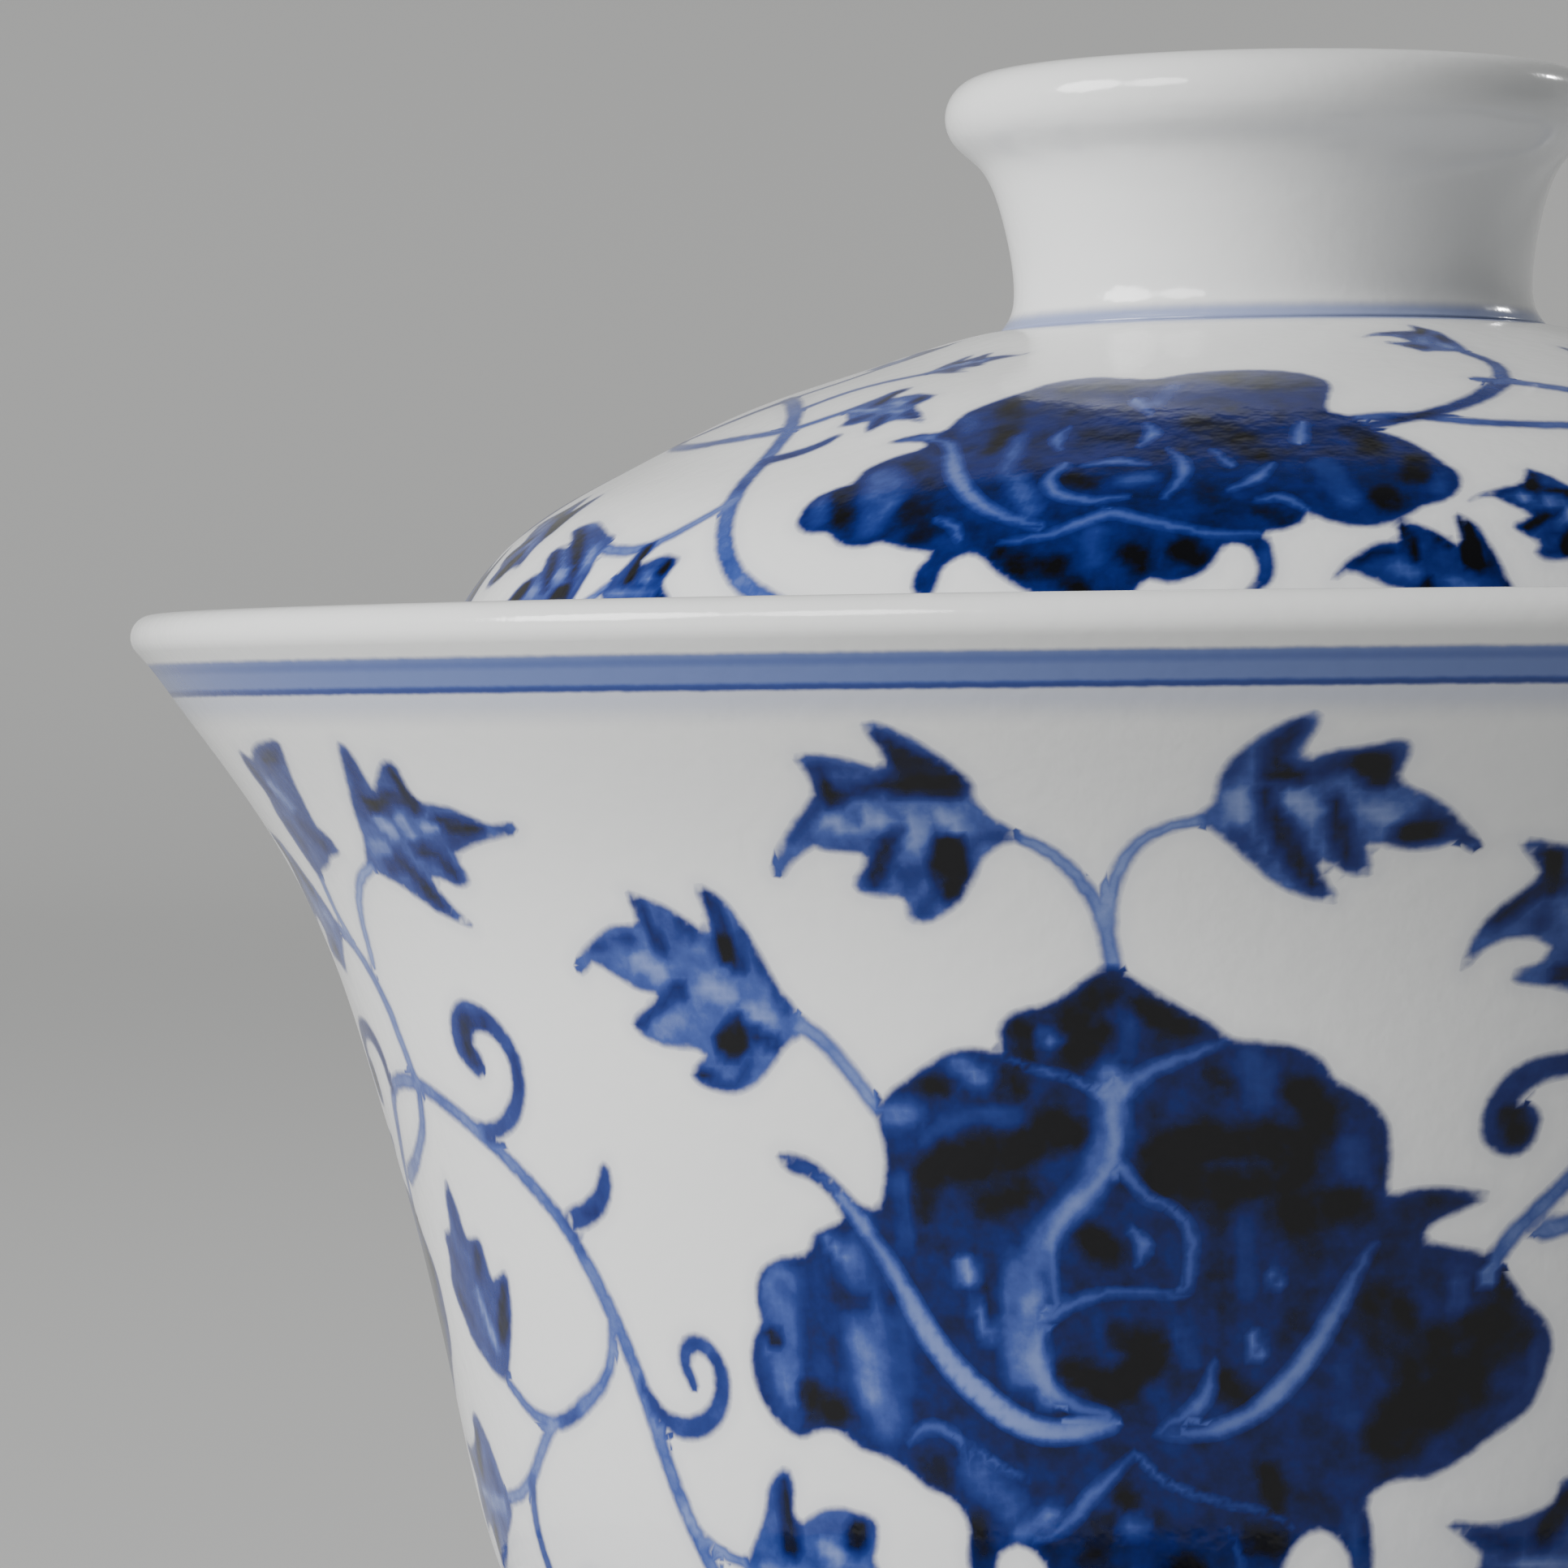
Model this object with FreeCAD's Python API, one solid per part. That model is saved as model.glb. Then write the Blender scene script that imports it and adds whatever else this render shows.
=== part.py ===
import FreeCAD, Part
import math
import os

# Gaiwan: a lidded porcelain tea bowl on its saucer.
#
# Three loose pieces stack on one vertical axis. The saucer stands on the table, the flared bowl
# stands with its foot ring in the saucer's well, and the domed lid drops into the bowl's flare
# and rests there on its edge. The lid's waisted ring knob is turned apart and luted to a flat
# land on the dome, so it is a solid of its own that moves with the lid.
#
# Every solid is a profile in the XZ plane turned about +Z. Millimetres, +Z up, the origin on the
# axis in the plane that the saucer stands on.

Vector = FreeCAD.Vector

# ---- driving dimensions -------------------------------------------------------------------
MOUTH_RADIUS = 49.85        # the bowl over its lip
BOWL_HEIGHT = 56.0          # foot to lip
BOWL_FOOT_RADIUS = 21.5     # outside of the foot ring where it stands
BOWL_WALL = 2.2             # wall half-way up, measured square to the surface
LIP_RADIUS = 0.95           # half the lip's thickness

LID_EDGE_RADIUS = 40.2      # the lid over its edge
LID_WALL = 2.3
LAND_HEIGHT = 68.0          # the dome's flat land above the edge plane of the bowl's foot
LAND_RADIUS = 12.3
KNOB_RIM_RADIUS = 14.25
KNOB_WAIST_RADIUS = 11.3
KNOB_HEIGHT = 11.2

SAUCER_RADIUS = 56.5
SAUCER_HEIGHT = 13.2
SAUCER_FOOT_RADIUS = 31.0
SAUCER_FOOT_INNER = 28.4
WELL_RADIUS = 23.2          # the seat for the bowl's foot
WELL_FLOOR = 5.2
SEAT_GAP = 0.05             # film of air under a piece that only rests

BOWL_BASE = WELL_FLOOR + SEAT_GAP   # height of the bowl's foot above the table


# ---- profile helpers ----------------------------------------------------------------------
def at(radius, height):
    """A point of a profile, which lies in the XZ plane."""
    return Vector(radius, 0, height)


def line(a, b):
    return Part.LineSegment(a, b).toShape()


def curve(points, start=None, end=None):
    """A smooth curve through points, leaving along start and arriving along end."""
    spline = Part.BSplineCurve()
    wanted = {}
    if start and end:
        wanted = {"InitialTangent": start.normalize(), "FinalTangent": end.normalize()}
    spline.interpolate(Points=points, **wanted)
    return spline


def round_edge(centre, radius, first, last):
    """An arc about centre from one angle to another, in degrees from +X towards +Z."""
    def on_arc(angle):
        turn = math.radians(angle)
        return centre + at(radius * math.cos(turn), radius * math.sin(turn))
    return Part.Arc(on_arc(first), on_arc((first + last) / 2), on_arc(last))


def along(angle):
    """The direction of travel of a counter-clockwise arc at that angle."""
    turn = math.radians(angle)
    return at(-math.sin(turn), math.cos(turn))


def inset(spline, share, depth):
    """The point that lies depth inside an outer curve that runs up the right-hand side."""
    first, last = spline.FirstParameter, spline.LastParameter
    place = first + share * (last - first)
    tangent = Vector(*spline.tangent(place)[0]).normalize()
    return spline.value(place) + at(-tangent.z, tangent.x) * depth


def turned(edges, lift=0.0):
    """The closed profile turned about +Z and lifted to its place."""
    face = Part.Face(Part.Wire(edges))
    solid = face.revolve(Vector(0, 0, 0), Vector(0, 0, 1), 360)
    solid.translate(Vector(0, 0, lift))
    return solid


def foot_ring(outer, inner, top_outer, ceiling, edge):
    """The edges of a foot ring from the recess under it round to the outside, and the two ends.

    outer and inner are its radii where it stands, and edge rounds both corners there.
    """
    inner_top = at(inner - edge, ceiling)
    inside = round_edge(at(inner + edge, edge), edge, 180, 270)
    outside = round_edge(at(outer - edge, edge), edge, 270, 360)
    return [
        line(inner_top, inside.StartPoint),
        inside.toShape(),
        line(inside.EndPoint, outside.StartPoint),
        outside.toShape(),
        line(outside.EndPoint, top_outer),
    ], inner_top


# ---- bowl ---------------------------------------------------------------------------------
def make_bowl():
    """Flared bell-shaped bowl: a steep belly, a lip that opens out, and a trimmed foot ring."""
    recess = 4.5
    floor = 7.7
    foot_top = at(22.1, 5.3)
    lip_slope = 44          # degrees from the vertical at which the wall meets the lip
    lip_centre = at(MOUTH_RADIUS - LIP_RADIUS, BOWL_HEIGHT - LIP_RADIUS)
    lip = round_edge(lip_centre, LIP_RADIUS, -lip_slope, 180 - lip_slope)

    outer = curve(
        [
            foot_top,
            at(25.6, 6.3),
            at(29.6, 8.3),
            at(32.7, 11.4),
            at(34.6, 15.6),
            at(36.1, 22.0),
            at(37.8, 29.6),
            at(39.6, 36.0),
            at(41.4, 41.5),
            at(43.6, 46.0),
            at(46.2, 49.9),
            at(48.1, 52.5),
            lip.StartPoint,
        ],
        start=at(1, 0.05),
        end=along(-lip_slope),
    )
    # The wall thins from the base to the lip, so the inner curve follows the outer one.
    thickness = [(0.94, 1.85), (0.87, 1.95), (0.76, BOWL_WALL), (0.62, BOWL_WALL + 0.1),
                 (0.48, BOWL_WALL + 0.2), (0.36, BOWL_WALL + 0.3), (0.26, BOWL_WALL + 0.5),
                 (0.17, BOWL_WALL + 0.6)]
    inner = curve(
        [lip.EndPoint]
        + [inset(outer, share, depth) for share, depth in thickness]
        + [at(18.0, floor + 0.6), at(0, floor)],
        start=along(180 - lip_slope),
        end=at(-1, 0),
    )
    foot, foot_start = foot_ring(BOWL_FOOT_RADIUS, 19.2, foot_top, recess, 0.45)
    edges = [line(at(0, recess), foot_start)] + foot
    edges += [outer.toShape(), lip.toShape(), inner.toShape(), line(at(0, floor), at(0, recess))]
    return turned(edges, BOWL_BASE)


# ---- lid ----------------------------------------------------------------------------------
def make_lid_dome():
    """Domed lid: a flat land for the knob, a full shoulder and a rounded edge."""
    edge_radius = 1.0
    edge_height = LAND_HEIGHT - 23.0        # centre of the rounded edge
    edge_slope = 20                         # the skirt's lean at the edge, from the vertical
    edge_centre = at(LID_EDGE_RADIUS - edge_radius, edge_height)
    edge = round_edge(edge_centre, edge_radius, 180 + edge_slope, 360 + edge_slope)

    outer = curve(
        [
            edge.EndPoint,
            at(39.35, LAND_HEIGHT - 19.9),
            at(38.1, LAND_HEIGHT - 16.9),
            at(36.6, LAND_HEIGHT - 13.7),
            at(34.7, LAND_HEIGHT - 10.5),
            at(32.2, LAND_HEIGHT - 8.1),
            at(28.3, LAND_HEIGHT - 5.9),
            at(23.2, LAND_HEIGHT - 3.4),
            at(17.6, LAND_HEIGHT - 1.5),
            at(LAND_RADIUS, LAND_HEIGHT),
        ],
        start=along(edge_slope),
        end=at(-1, 0.16),
    )
    shares = (0.92, 0.78, 0.64, 0.5, 0.36, 0.22, 0.12)
    inner_points = [inset(outer, share, LID_WALL) for share in shares]
    inner = curve(
        [at(0, LAND_HEIGHT - LID_WALL - 0.4)] + inner_points + [edge.StartPoint],
        start=at(1, 0),
        end=along(180 + edge_slope),
    )
    edges = [
        outer.toShape(),
        line(at(LAND_RADIUS, LAND_HEIGHT), at(0, LAND_HEIGHT)),
        line(at(0, LAND_HEIGHT), at(0, LAND_HEIGHT - LID_WALL - 0.4)),
        inner.toShape(),
        edge.toShape(),
    ]
    return turned(edges, BOWL_BASE)


def make_lid_knob():
    """Waisted ring knob with a rolled rim, hollow inside, standing on the dome's land."""
    roll = 1.75
    under_slope = 42                        # how far under its widest the roll meets the waist
    roll_centre = at(KNOB_RIM_RADIUS - roll, KNOB_HEIGHT - roll)
    over = round_edge(roll_centre, roll, -under_slope, 150)
    outer = curve(
        [
            at(LAND_RADIUS - 0.25, 0),
            at(KNOB_WAIST_RADIUS + 0.18, 0.75),
            at(KNOB_WAIST_RADIUS, 2.0),
            at(KNOB_WAIST_RADIUS + 0.12, 3.3),
            at(KNOB_WAIST_RADIUS + 0.4, 4.7),
            at(KNOB_WAIST_RADIUS + 0.8, 6.1),
            at(KNOB_WAIST_RADIUS + 1.45, 7.3),
            over.StartPoint,
        ],
        start=at(-1, 0.8),
        end=along(-under_slope),
    )
    inner_foot = at(8.7, 0)
    inner = curve(
        [over.EndPoint, at(10.1, 8.4), at(9.3, 5.8), at(8.8, 2.9), inner_foot],
        start=along(150),
        end=at(0, -1),
    )
    edges = [
        outer.toShape(),
        over.toShape(),
        inner.toShape(),
        line(inner_foot, at(LAND_RADIUS - 0.25, 0)),
    ]
    return turned(edges, BOWL_BASE + LAND_HEIGHT)


# ---- saucer -------------------------------------------------------------------------------
def make_saucer():
    """Shallow dish on a foot ring, with a sunk well and a low bead that hold the bowl's foot."""
    ceiling = 2.3                           # the recess under the well
    lip_radius = 0.95
    lip_slope = 60
    foot_top = at(SAUCER_FOOT_RADIUS + 0.5, 3.7)
    lip_centre = at(SAUCER_RADIUS - lip_radius, SAUCER_HEIGHT - lip_radius)
    lip = round_edge(lip_centre, lip_radius, -lip_slope, 180 - lip_slope)
    under = curve(
        [foot_top, at(37.0, 4.5), at(44.0, 6.1), at(50.6, 8.6), lip.StartPoint],
        start=at(1, 0.08),
        end=along(-lip_slope),
    )
    bead_outer = at(26.6, 6.5)
    bead_top = at(24.9, 7.3)
    bead_inner = at(WELL_RADIUS + 0.35, 6.6)
    dish = curve(
        [lip.EndPoint, at(50.2, 10.5), at(43.6, 8.2), at(36.6, 6.8), at(30.4, 6.3), bead_outer],
        start=along(180 - lip_slope),
        end=at(-1, 0.12),
    )
    bead = curve(
        [bead_outer, bead_top, bead_inner],
        start=at(-1, 0.12),
        end=at(-0.25, -1),
    )
    well_corner = round_edge(at(WELL_RADIUS - 0.5, WELL_FLOOR + 0.5), 0.5, 0, -90)
    foot, foot_start = foot_ring(SAUCER_FOOT_RADIUS, SAUCER_FOOT_INNER, foot_top, ceiling, 0.5)
    edges = [line(at(0, ceiling), foot_start)] + foot
    edges += [
        under.toShape(),
        lip.toShape(),
        dish.toShape(),
        bead.toShape(),
        line(bead_inner, well_corner.StartPoint),
        well_corner.toShape(),
        line(well_corner.EndPoint, at(0, WELL_FLOOR)),
        line(at(0, WELL_FLOOR), at(0, ceiling)),
    ]
    return turned(edges)


PIECES = {
    "saucer": make_saucer,
    "bowl": make_bowl,
    "lid_dome": make_lid_dome,
    "lid_knob": make_lid_knob,
}

os.makedirs("parts", exist_ok=True)
for name, make in PIECES.items():
    solid = make()
    if not solid.isValid() or solid.Volume <= 0:
        raise SystemExit(f"{name} is not a valid solid")
    solid.exportStep(f"parts/{name}.step")
    print(name, f"volume {solid.Volume / 1000:.1f} cm3", solid.BoundBox)
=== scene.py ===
import bpy
import math
import numpy as np
from mathutils import Matrix, Vector


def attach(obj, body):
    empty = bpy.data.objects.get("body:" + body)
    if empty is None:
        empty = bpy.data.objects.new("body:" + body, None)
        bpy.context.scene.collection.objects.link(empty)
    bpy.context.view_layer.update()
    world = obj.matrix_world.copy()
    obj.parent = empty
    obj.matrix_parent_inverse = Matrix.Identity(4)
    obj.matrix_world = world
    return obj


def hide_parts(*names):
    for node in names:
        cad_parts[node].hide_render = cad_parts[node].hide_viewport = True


# A lidded porcelain tea bowl on its saucer, painted under the glaze in cobalt blue.
# Profiles and painting are given in millimetres and turned to metres as the meshes are made.

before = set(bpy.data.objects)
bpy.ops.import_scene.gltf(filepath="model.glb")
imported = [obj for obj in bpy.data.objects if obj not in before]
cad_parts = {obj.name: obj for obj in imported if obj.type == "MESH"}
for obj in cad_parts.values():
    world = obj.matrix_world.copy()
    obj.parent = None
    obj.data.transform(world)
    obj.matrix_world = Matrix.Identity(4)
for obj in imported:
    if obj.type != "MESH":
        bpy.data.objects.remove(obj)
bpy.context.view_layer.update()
rng = np.random.default_rng(41)


# Curves and outlines

def clampedCurve(points, startWay, endWay, count):
    # Cubic through the points with chord length as its parameter and both end directions given
    points = np.array(points, float)
    step = np.hypot(*np.diff(points, axis=0).T)
    place = np.concatenate([[0], np.cumsum(step)])
    size = len(points)
    row = np.arange(1, size - 1)
    grid = np.zeros((size, size))
    want = np.zeros((size, 2))
    grid[0, 0] = grid[-1, -1] = 1
    want[0] = np.array(startWay) / np.hypot(*startWay)
    want[-1] = np.array(endWay) / np.hypot(*endWay)
    grid[row, row - 1] = step[1:]
    grid[row, row] = 2 * (step[1:] + step[:-1])
    grid[row, row + 1] = step[:-1]
    slope = np.diff(points, axis=0) / step[:, None]
    want[row] = 3 * (slope[1:] * step[:-1, None] + slope[:-1] * step[1:, None])
    ways = np.linalg.solve(grid, want)
    t = np.linspace(0, place[-1], count)
    k = np.clip(np.searchsorted(place, t, side="right") - 1, 0, size - 2)
    u = ((t - place[k]) / step[k])[:, None]
    h = step[k][:, None]
    return ((2 * u**3 - 3 * u**2 + 1) * points[k] + (u**3 - 2 * u**2 + u) * h * ways[k]
            + (3 * u**2 - 2 * u**3) * points[k + 1] + (u**3 - u**2) * h * ways[k + 1])


def arc(centre, radius, first, last, count):
    # Centre plus radius times (cos, sin) of an angle that runs from first to last, in degrees
    angle = np.radians(np.linspace(first, last, count))
    return np.array(centre) + radius * np.column_stack([np.cos(angle), np.sin(angle)])


def along(angle):
    # The way a counter-clockwise arc travels at that angle: (-sin, cos)
    return (-math.sin(math.radians(angle)), math.cos(math.radians(angle)))


def straight(a, b, count):
    # Equal steps from a to b
    return np.linspace(a, b, count)


def pathOf(line):
    # Length along the line from its first point to each point
    return np.concatenate([[0], np.cumsum(np.hypot(*np.diff(line, axis=0).T))])


def evenly(line, count):
    # The same line with its points at equal steps of path length
    path = pathOf(line)
    at = np.linspace(0, path[-1], count)
    return np.column_stack([np.interp(at, path, line[:, 0]), np.interp(at, path, line[:, 1])])


def inset(line, share, depth):
    # Points that lie depth to the left of the line, at those shares of its length
    line = evenly(line, 801)
    k = np.clip((np.array(share) * 800).astype(int), 1, 799)
    way = line[k + 1] - line[k - 1]
    way /= np.hypot(*way.T)[:, None]
    return line[k] + np.column_stack([-way[:, 1], way[:, 0]]) * np.array(depth)[:, None]


def smooth(points, closed, steps=6):
    # Catmull-Rom curve: each run is a cubic whose end slopes are half the chord across its neighbours
    p = np.array(points, float)
    if closed:
        before, after, beyond = np.roll(p, 1, 0), np.roll(p, -1, 0), np.roll(p, -2, 0)
    else:
        full = np.vstack([2 * p[0] - p[1], p, 2 * p[-1] - p[-2]])
        before, p, after, beyond = full[:-3], full[1:-2], full[2:-1], full[3:]
    u = np.linspace(0, 1, steps, endpoint=False)[None, :, None]
    a, b, c, d = (q[:, None, :] for q in (before, p, after, beyond))
    line = 0.5 * (2 * b + (c - a) * u + (2 * a - 5 * b + 4 * c - d) * u**2
                  + (3 * b - a - 3 * c + d) * u**3)
    line = line.reshape(-1, 2)
    return line if closed else np.vstack([line, after[-1:]])


# Painting: a canvas holds, for every painted point, the numbers that the glaze material reads
# fill: mm to the edge of the nearest painted shape, negative inside it
# pale: the same for the pale lines that the brush leaves between petals
# tone: how strong the cobalt is, 0 a thin wash to 1 a black pool
# fillSide, paleSide: 0 along the middle of a stroke and 1 or -1 on its two edges, so that a line
# narrower than the mesh's cells keeps an even width
# paleShare: how far a pale line takes the cobalt back to a thin wash, less where it is narrow

unpainted = {"fill": 9.0, "pale": 9.0, "tone": 0.3, "fillSide": 9.0, "paleSide": 9.0, "paleShare": 0.0}
edgeDepth = 0.35      # mm inside an edge where fillSide and paleSide come down to 0
brushReach = 2.5      # mm round a shape where its distances are worked out


def newCanvas(x, y, wrap=None):
    # x and y are flat positions in mm; wrap is the way round in mm where x comes back to itself
    numbers = {key: np.full(len(x), value) for key, value in unpainted.items()}
    return {**numbers, "x": x, "y": y, "wrap": wrap}


def nearTo(canvas, line):
    # Which points lie in the line's box grown by the brush's reach, and where they are beside it
    low, high = line.min(0) - brushReach, line.max(0) + brushReach
    middle = (low + high) / 2
    dx = canvas["x"] - middle[0]
    if canvas["wrap"]:
        dx = (dx + canvas["wrap"] / 2) % canvas["wrap"] - canvas["wrap"] / 2
    dy = canvas["y"] - middle[1]
    near = np.nonzero((np.abs(dx) < (high - low)[0] / 2) & (np.abs(dy) < (high - low)[1] / 2))[0]
    return near, dx[near] + middle[0], dy[near] + middle[1]


def toLine(px, py, line, widths):
    # Least distance from each point to any run of the line, less the line's half width there, then
    # 1 or -1 for the side of that run that the point is on, and that half width
    widths = np.interp(np.linspace(0, 1, len(line)), np.linspace(0, 1, len(widths)), widths)
    a, run = line[:-1], np.diff(line, axis=0)
    share = ((px[:, None] - a[:, 0]) * run[:, 0] + (py[:, None] - a[:, 1]) * run[:, 1])
    share = np.clip(share / np.maximum((run**2).sum(1), 1e-9), 0, 1)
    gap = np.hypot(px[:, None] - a[:, 0] - share * run[:, 0], py[:, None] - a[:, 1] - share * run[:, 1])
    wide = widths[:-1] + share * np.diff(widths)
    k = (gap - wide).argmin(1)
    turn = run[k, 0] * (py - a[k, 1]) - run[k, 1] * (px - a[k, 0])
    row = np.arange(len(px))
    return (gap - wide)[row, k], np.where(turn < 0, -1, 1), wide[row, k]


def insideOf(px, py, outline):
    # Odd number of outline runs crossed by a ray to the right
    a, b = outline, np.roll(outline, -1, 0)
    rise = np.where(b[:, 1] == a[:, 1], 1, b[:, 1] - a[:, 1])
    spans = (a[:, 1] > py[:, None]) != (b[:, 1] > py[:, None])
    left = px[:, None] < a[:, 0] + (py[:, None] - a[:, 1]) * (b[:, 0] - a[:, 0]) / rise
    return (spans & left).sum(1) % 2 == 1


def putNearer(canvas, which, near, gap, side):
    # Keeps the lesser distance, with the side that goes with it
    nearer = gap < canvas[which][near]
    scaled = side * np.maximum(1 + gap / edgeDepth, 0)
    canvas[which + "Side"][near] = np.where(nearer, scaled, canvas[which + "Side"][near])
    canvas[which][near] = np.where(nearer, gap, canvas[which][near])


def lay(canvas, near, gap, side, tone):
    # Puts one shape over what is there and takes away pale lines under it; its tone also carries
    # just past its edge
    old = canvas["fill"][near]
    taken = (gap < 0) | ((old > 0) & (gap < old))
    for key in ("pale", "paleSide"):
        canvas[key][near] = np.where(gap < 0, unpainted[key], canvas[key][near])
    canvas["tone"][near] = np.where(taken, tone, canvas["tone"][near])
    putNearer(canvas, "fill", near, gap, side)


def addShape(canvas, outline, tone):
    # A filled outline: distance to its edge, negative inside
    near, px, py = nearTo(canvas, outline)
    gap = toLine(px, py, np.vstack([outline, outline[:1]]), [0])[0]
    lay(canvas, near, np.where(insideOf(px, py, outline), -gap, gap), 1, tone)


def addStroke(canvas, line, widths, tone):
    # A brush stroke with half widths spread along it
    near, px, py = nearTo(canvas, line)
    gap, side, _ = toLine(px, py, line, widths)
    lay(canvas, near, gap, side, tone)


def addWash(canvas, line, widths, tone):
    # Darker or lighter cobalt: its share falls smoothly from 1 to 0 over soft mm across the edge
    near, px, py = nearTo(canvas, line)
    soft = 0.4 + 0.5 * max(widths)
    share = np.clip(0.5 - toLine(px, py, line, widths)[0] / soft, 0, 1)
    share = share * share * (3 - 2 * share)
    canvas["tone"][near] += (tone - canvas["tone"][near]) * share


def addPale(canvas, line, widths):
    # A pale stroke left showing on top of what is painted
    near, px, py = nearTo(canvas, line)
    gap, side, wide = toLine(px, py, line, widths)
    share = np.clip(0.2 + 1.5 * wide, 0, 1)
    canvas["paleShare"][near] = np.where(gap < canvas["pale"][near], share, canvas["paleShare"][near])
    putNearer(canvas, "pale", near, gap, side)


def strokeOf(wash):
    # A wash is (points, half widths, tone), or for a dab (x, y, x, y, half width, tone)
    if len(wash) == 3:
        return wash
    return [wash[0:2], wash[2:4]], [wash[4]], wash[5]


def paintPart(canvas, place, part):
    # A leaf or a flower: its outline, then washes, then pale lines
    addShape(canvas, place(smooth(part["outline"], True, 4)), part["tone"])
    for points, widths, tone in map(strokeOf, part["washes"]):
        addWash(canvas, place(smooth(points, False)), widths, tone)
    for points, widths in part.get("pale", []):
        addPale(canvas, place(smooth(points, False)), widths)


def moved(part, base, turn, scale, deeper=0.0):
    # The same leaf with its stalk end at base, turned by so many degrees and scaled, and its tones
    # raised by deeper
    c, s = math.cos(math.radians(turn)) * scale, math.sin(math.radians(turn)) * scale

    def shift(points):
        p = np.array(points, float) - part["base"]
        return np.column_stack([base[0] + c * p[:, 0] - s * p[:, 1], base[1] + s * p[:, 0] + c * p[:, 1]])

    return {"tone": part["tone"] + deeper, "outline": shift(part["outline"]),
            "washes": [(shift(points), np.array(widths) * scale, tone + deeper)
                       for points, widths, tone in map(strokeOf, part["washes"])]}


def paintUnit(canvas, place, unit):
    # One repeat of the scroll: stalks underneath, then leaves, then the flower
    for points, widths, tone in unit["stalks"]:
        addStroke(canvas, place(smooth(points, False)), widths, tone)
    for points, widths, tone in map(strokeOf, unit["washes"]):
        addWash(canvas, place(smooth(points, False)), widths, tone)
    for name, *how in unit["leaves"]:
        paintPart(canvas, place, moved(leaves[name], *how) if how else leaves[name])
    paintPart(canvas, place, unit["flower"])


def placing(wander, shift=0.0, turn=0.0, polar=None):
    # Makes the function that moves a repeat's own (across, down) mm to the canvas. Both wander by
    # sines of each other. With polar set, down is the distance from the middle of a round canvas,
    # shifted out by polar[0], and angles are multiplied by polar[1]
    a, b, c, d = rng.uniform(0, 6.28, 4)

    def place(points):
        p = np.array(points, float)
        x, down = p[..., 0], p[..., 1]
        x, down = (x + wander * (np.sin(down / 6 + a) + 0.6 * np.sin(x / 5 + b)),
                   down + wander * (np.sin(x / 6 + c) + 0.6 * np.sin(down / 5 + d)))
        if polar is None:
            return np.stack([x + shift, -down], -1)
        far, angle = np.hypot(x, down) + polar[0], np.arctan2(x, down) * polar[1] + turn
        return np.stack([far * np.sin(angle), -far * np.cos(angle)], -1)

    return place


# Turned meshes

def ringCorners(rows, size, count, face):
    # The corners that each of count faces has on a ring: its one point at the axis, else every
    # point from the face's first side to its second
    if size == 1:
        return [(rows, 0 * face)]
    return [(rows, face * size // count + step) for step in range(size // count + 1)]


def turnedPiece(name, rings, columns, material, body, node, colours=None):
    # Every ring is a circle of its own number of points at (radius, height); equal rings are joined
    # by four-cornered faces, and a ring to one four times finer by faces with four short sides
    columns = np.array(columns)
    start = np.concatenate([[0], np.cumsum(columns)])
    ring = np.repeat(np.arange(len(rings)), columns)
    angle = 2 * np.pi * (np.arange(start[-1]) - start[ring]) / columns[ring] - np.pi
    radius = np.where(columns[ring] == 1, 0, rings[ring, 0])
    verts = np.column_stack([radius * np.sin(angle), -radius * np.cos(angle), rings[ring, 1]]) / 1000
    path = pathOf(rings)
    path /= path[-1]
    groups, corners = [], []
    pairs = np.column_stack([columns[:-1], columns[1:]])
    for low, high in np.unique(pairs, axis=0):
        k = np.nonzero((pairs[:, 0] == low) & (pairs[:, 1] == high))[0]
        count = min(low, high) if min(low, high) > 1 else max(low, high)
        j = np.arange(count)
        face, us, vs = [], [], []
        for rows, cols in ringCorners(k, low, count, j) + ringCorners(k + 1, high, count, j)[::-1]:
            wide = columns[rows[0]]
            around = cols / wide if wide > 1 else (j + 0.5) / count
            face.append(start[rows][:, None] + (cols % wide)[None, :])
            us.append(np.broadcast_to(around[None, :], face[-1].shape))
            vs.append(np.broadcast_to(path[rows][:, None], face[-1].shape))
        groups.append(np.stack(face, -1).reshape(-1, len(face)))
        corners.append(np.stack([np.stack(us, -1), np.stack(vs, -1)], -1).reshape(-1, 2))
    mesh = bpy.data.meshes.new(name)
    total = np.concatenate([np.full(len(g), g.shape[1]) for g in groups])
    mesh.vertices.add(len(verts))
    mesh.vertices.foreach_set("co", verts.ravel())
    mesh.loops.add(int(total.sum()))
    mesh.loops.foreach_set("vertex_index", np.concatenate([g.ravel() for g in groups]).astype(np.int32))
    mesh.polygons.add(len(total))
    mesh.polygons.foreach_set("loop_start", np.concatenate([[0], np.cumsum(total)[:-1]]).astype(np.int32))
    mesh.update(calc_edges=True)
    mesh.polygons.foreach_set("use_smooth", np.ones(len(total), bool))
    uv = mesh.uv_layers.new(name="OFBake")      # just inside the square, so that no seam bleeds
    uv.data.foreach_set("uv", np.concatenate(corners).ravel() * 0.98 + 0.01)
    if colours is not None:
        for key, values in (("paint", colours[:, :3]), ("paintSide", colours[:, 3:])):
            mesh.attributes.new(key, "FLOAT_VECTOR", "POINT").data.foreach_set("vector", values.ravel())
    mesh.materials.append(material)
    piece = bpy.data.objects.new(name, mesh)
    bpy.context.collection.objects.link(piece)
    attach(piece, body)
    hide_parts(node)
    print(name, len(verts), "points,", int((total - 2).sum()), "triangles")


def stretches(parts):
    # Joins stretches of (line, columns), dropping a repeated point where two meet
    rings, columns = [], []
    for line, count in parts:
        first = 1 if rings and np.hypot(*(line[0] - rings[-1][-1])) < 1e-6 else 0
        rings.append(line[first:])
        columns += [count] * (len(line) - first)
    return np.vstack(rings), columns


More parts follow.
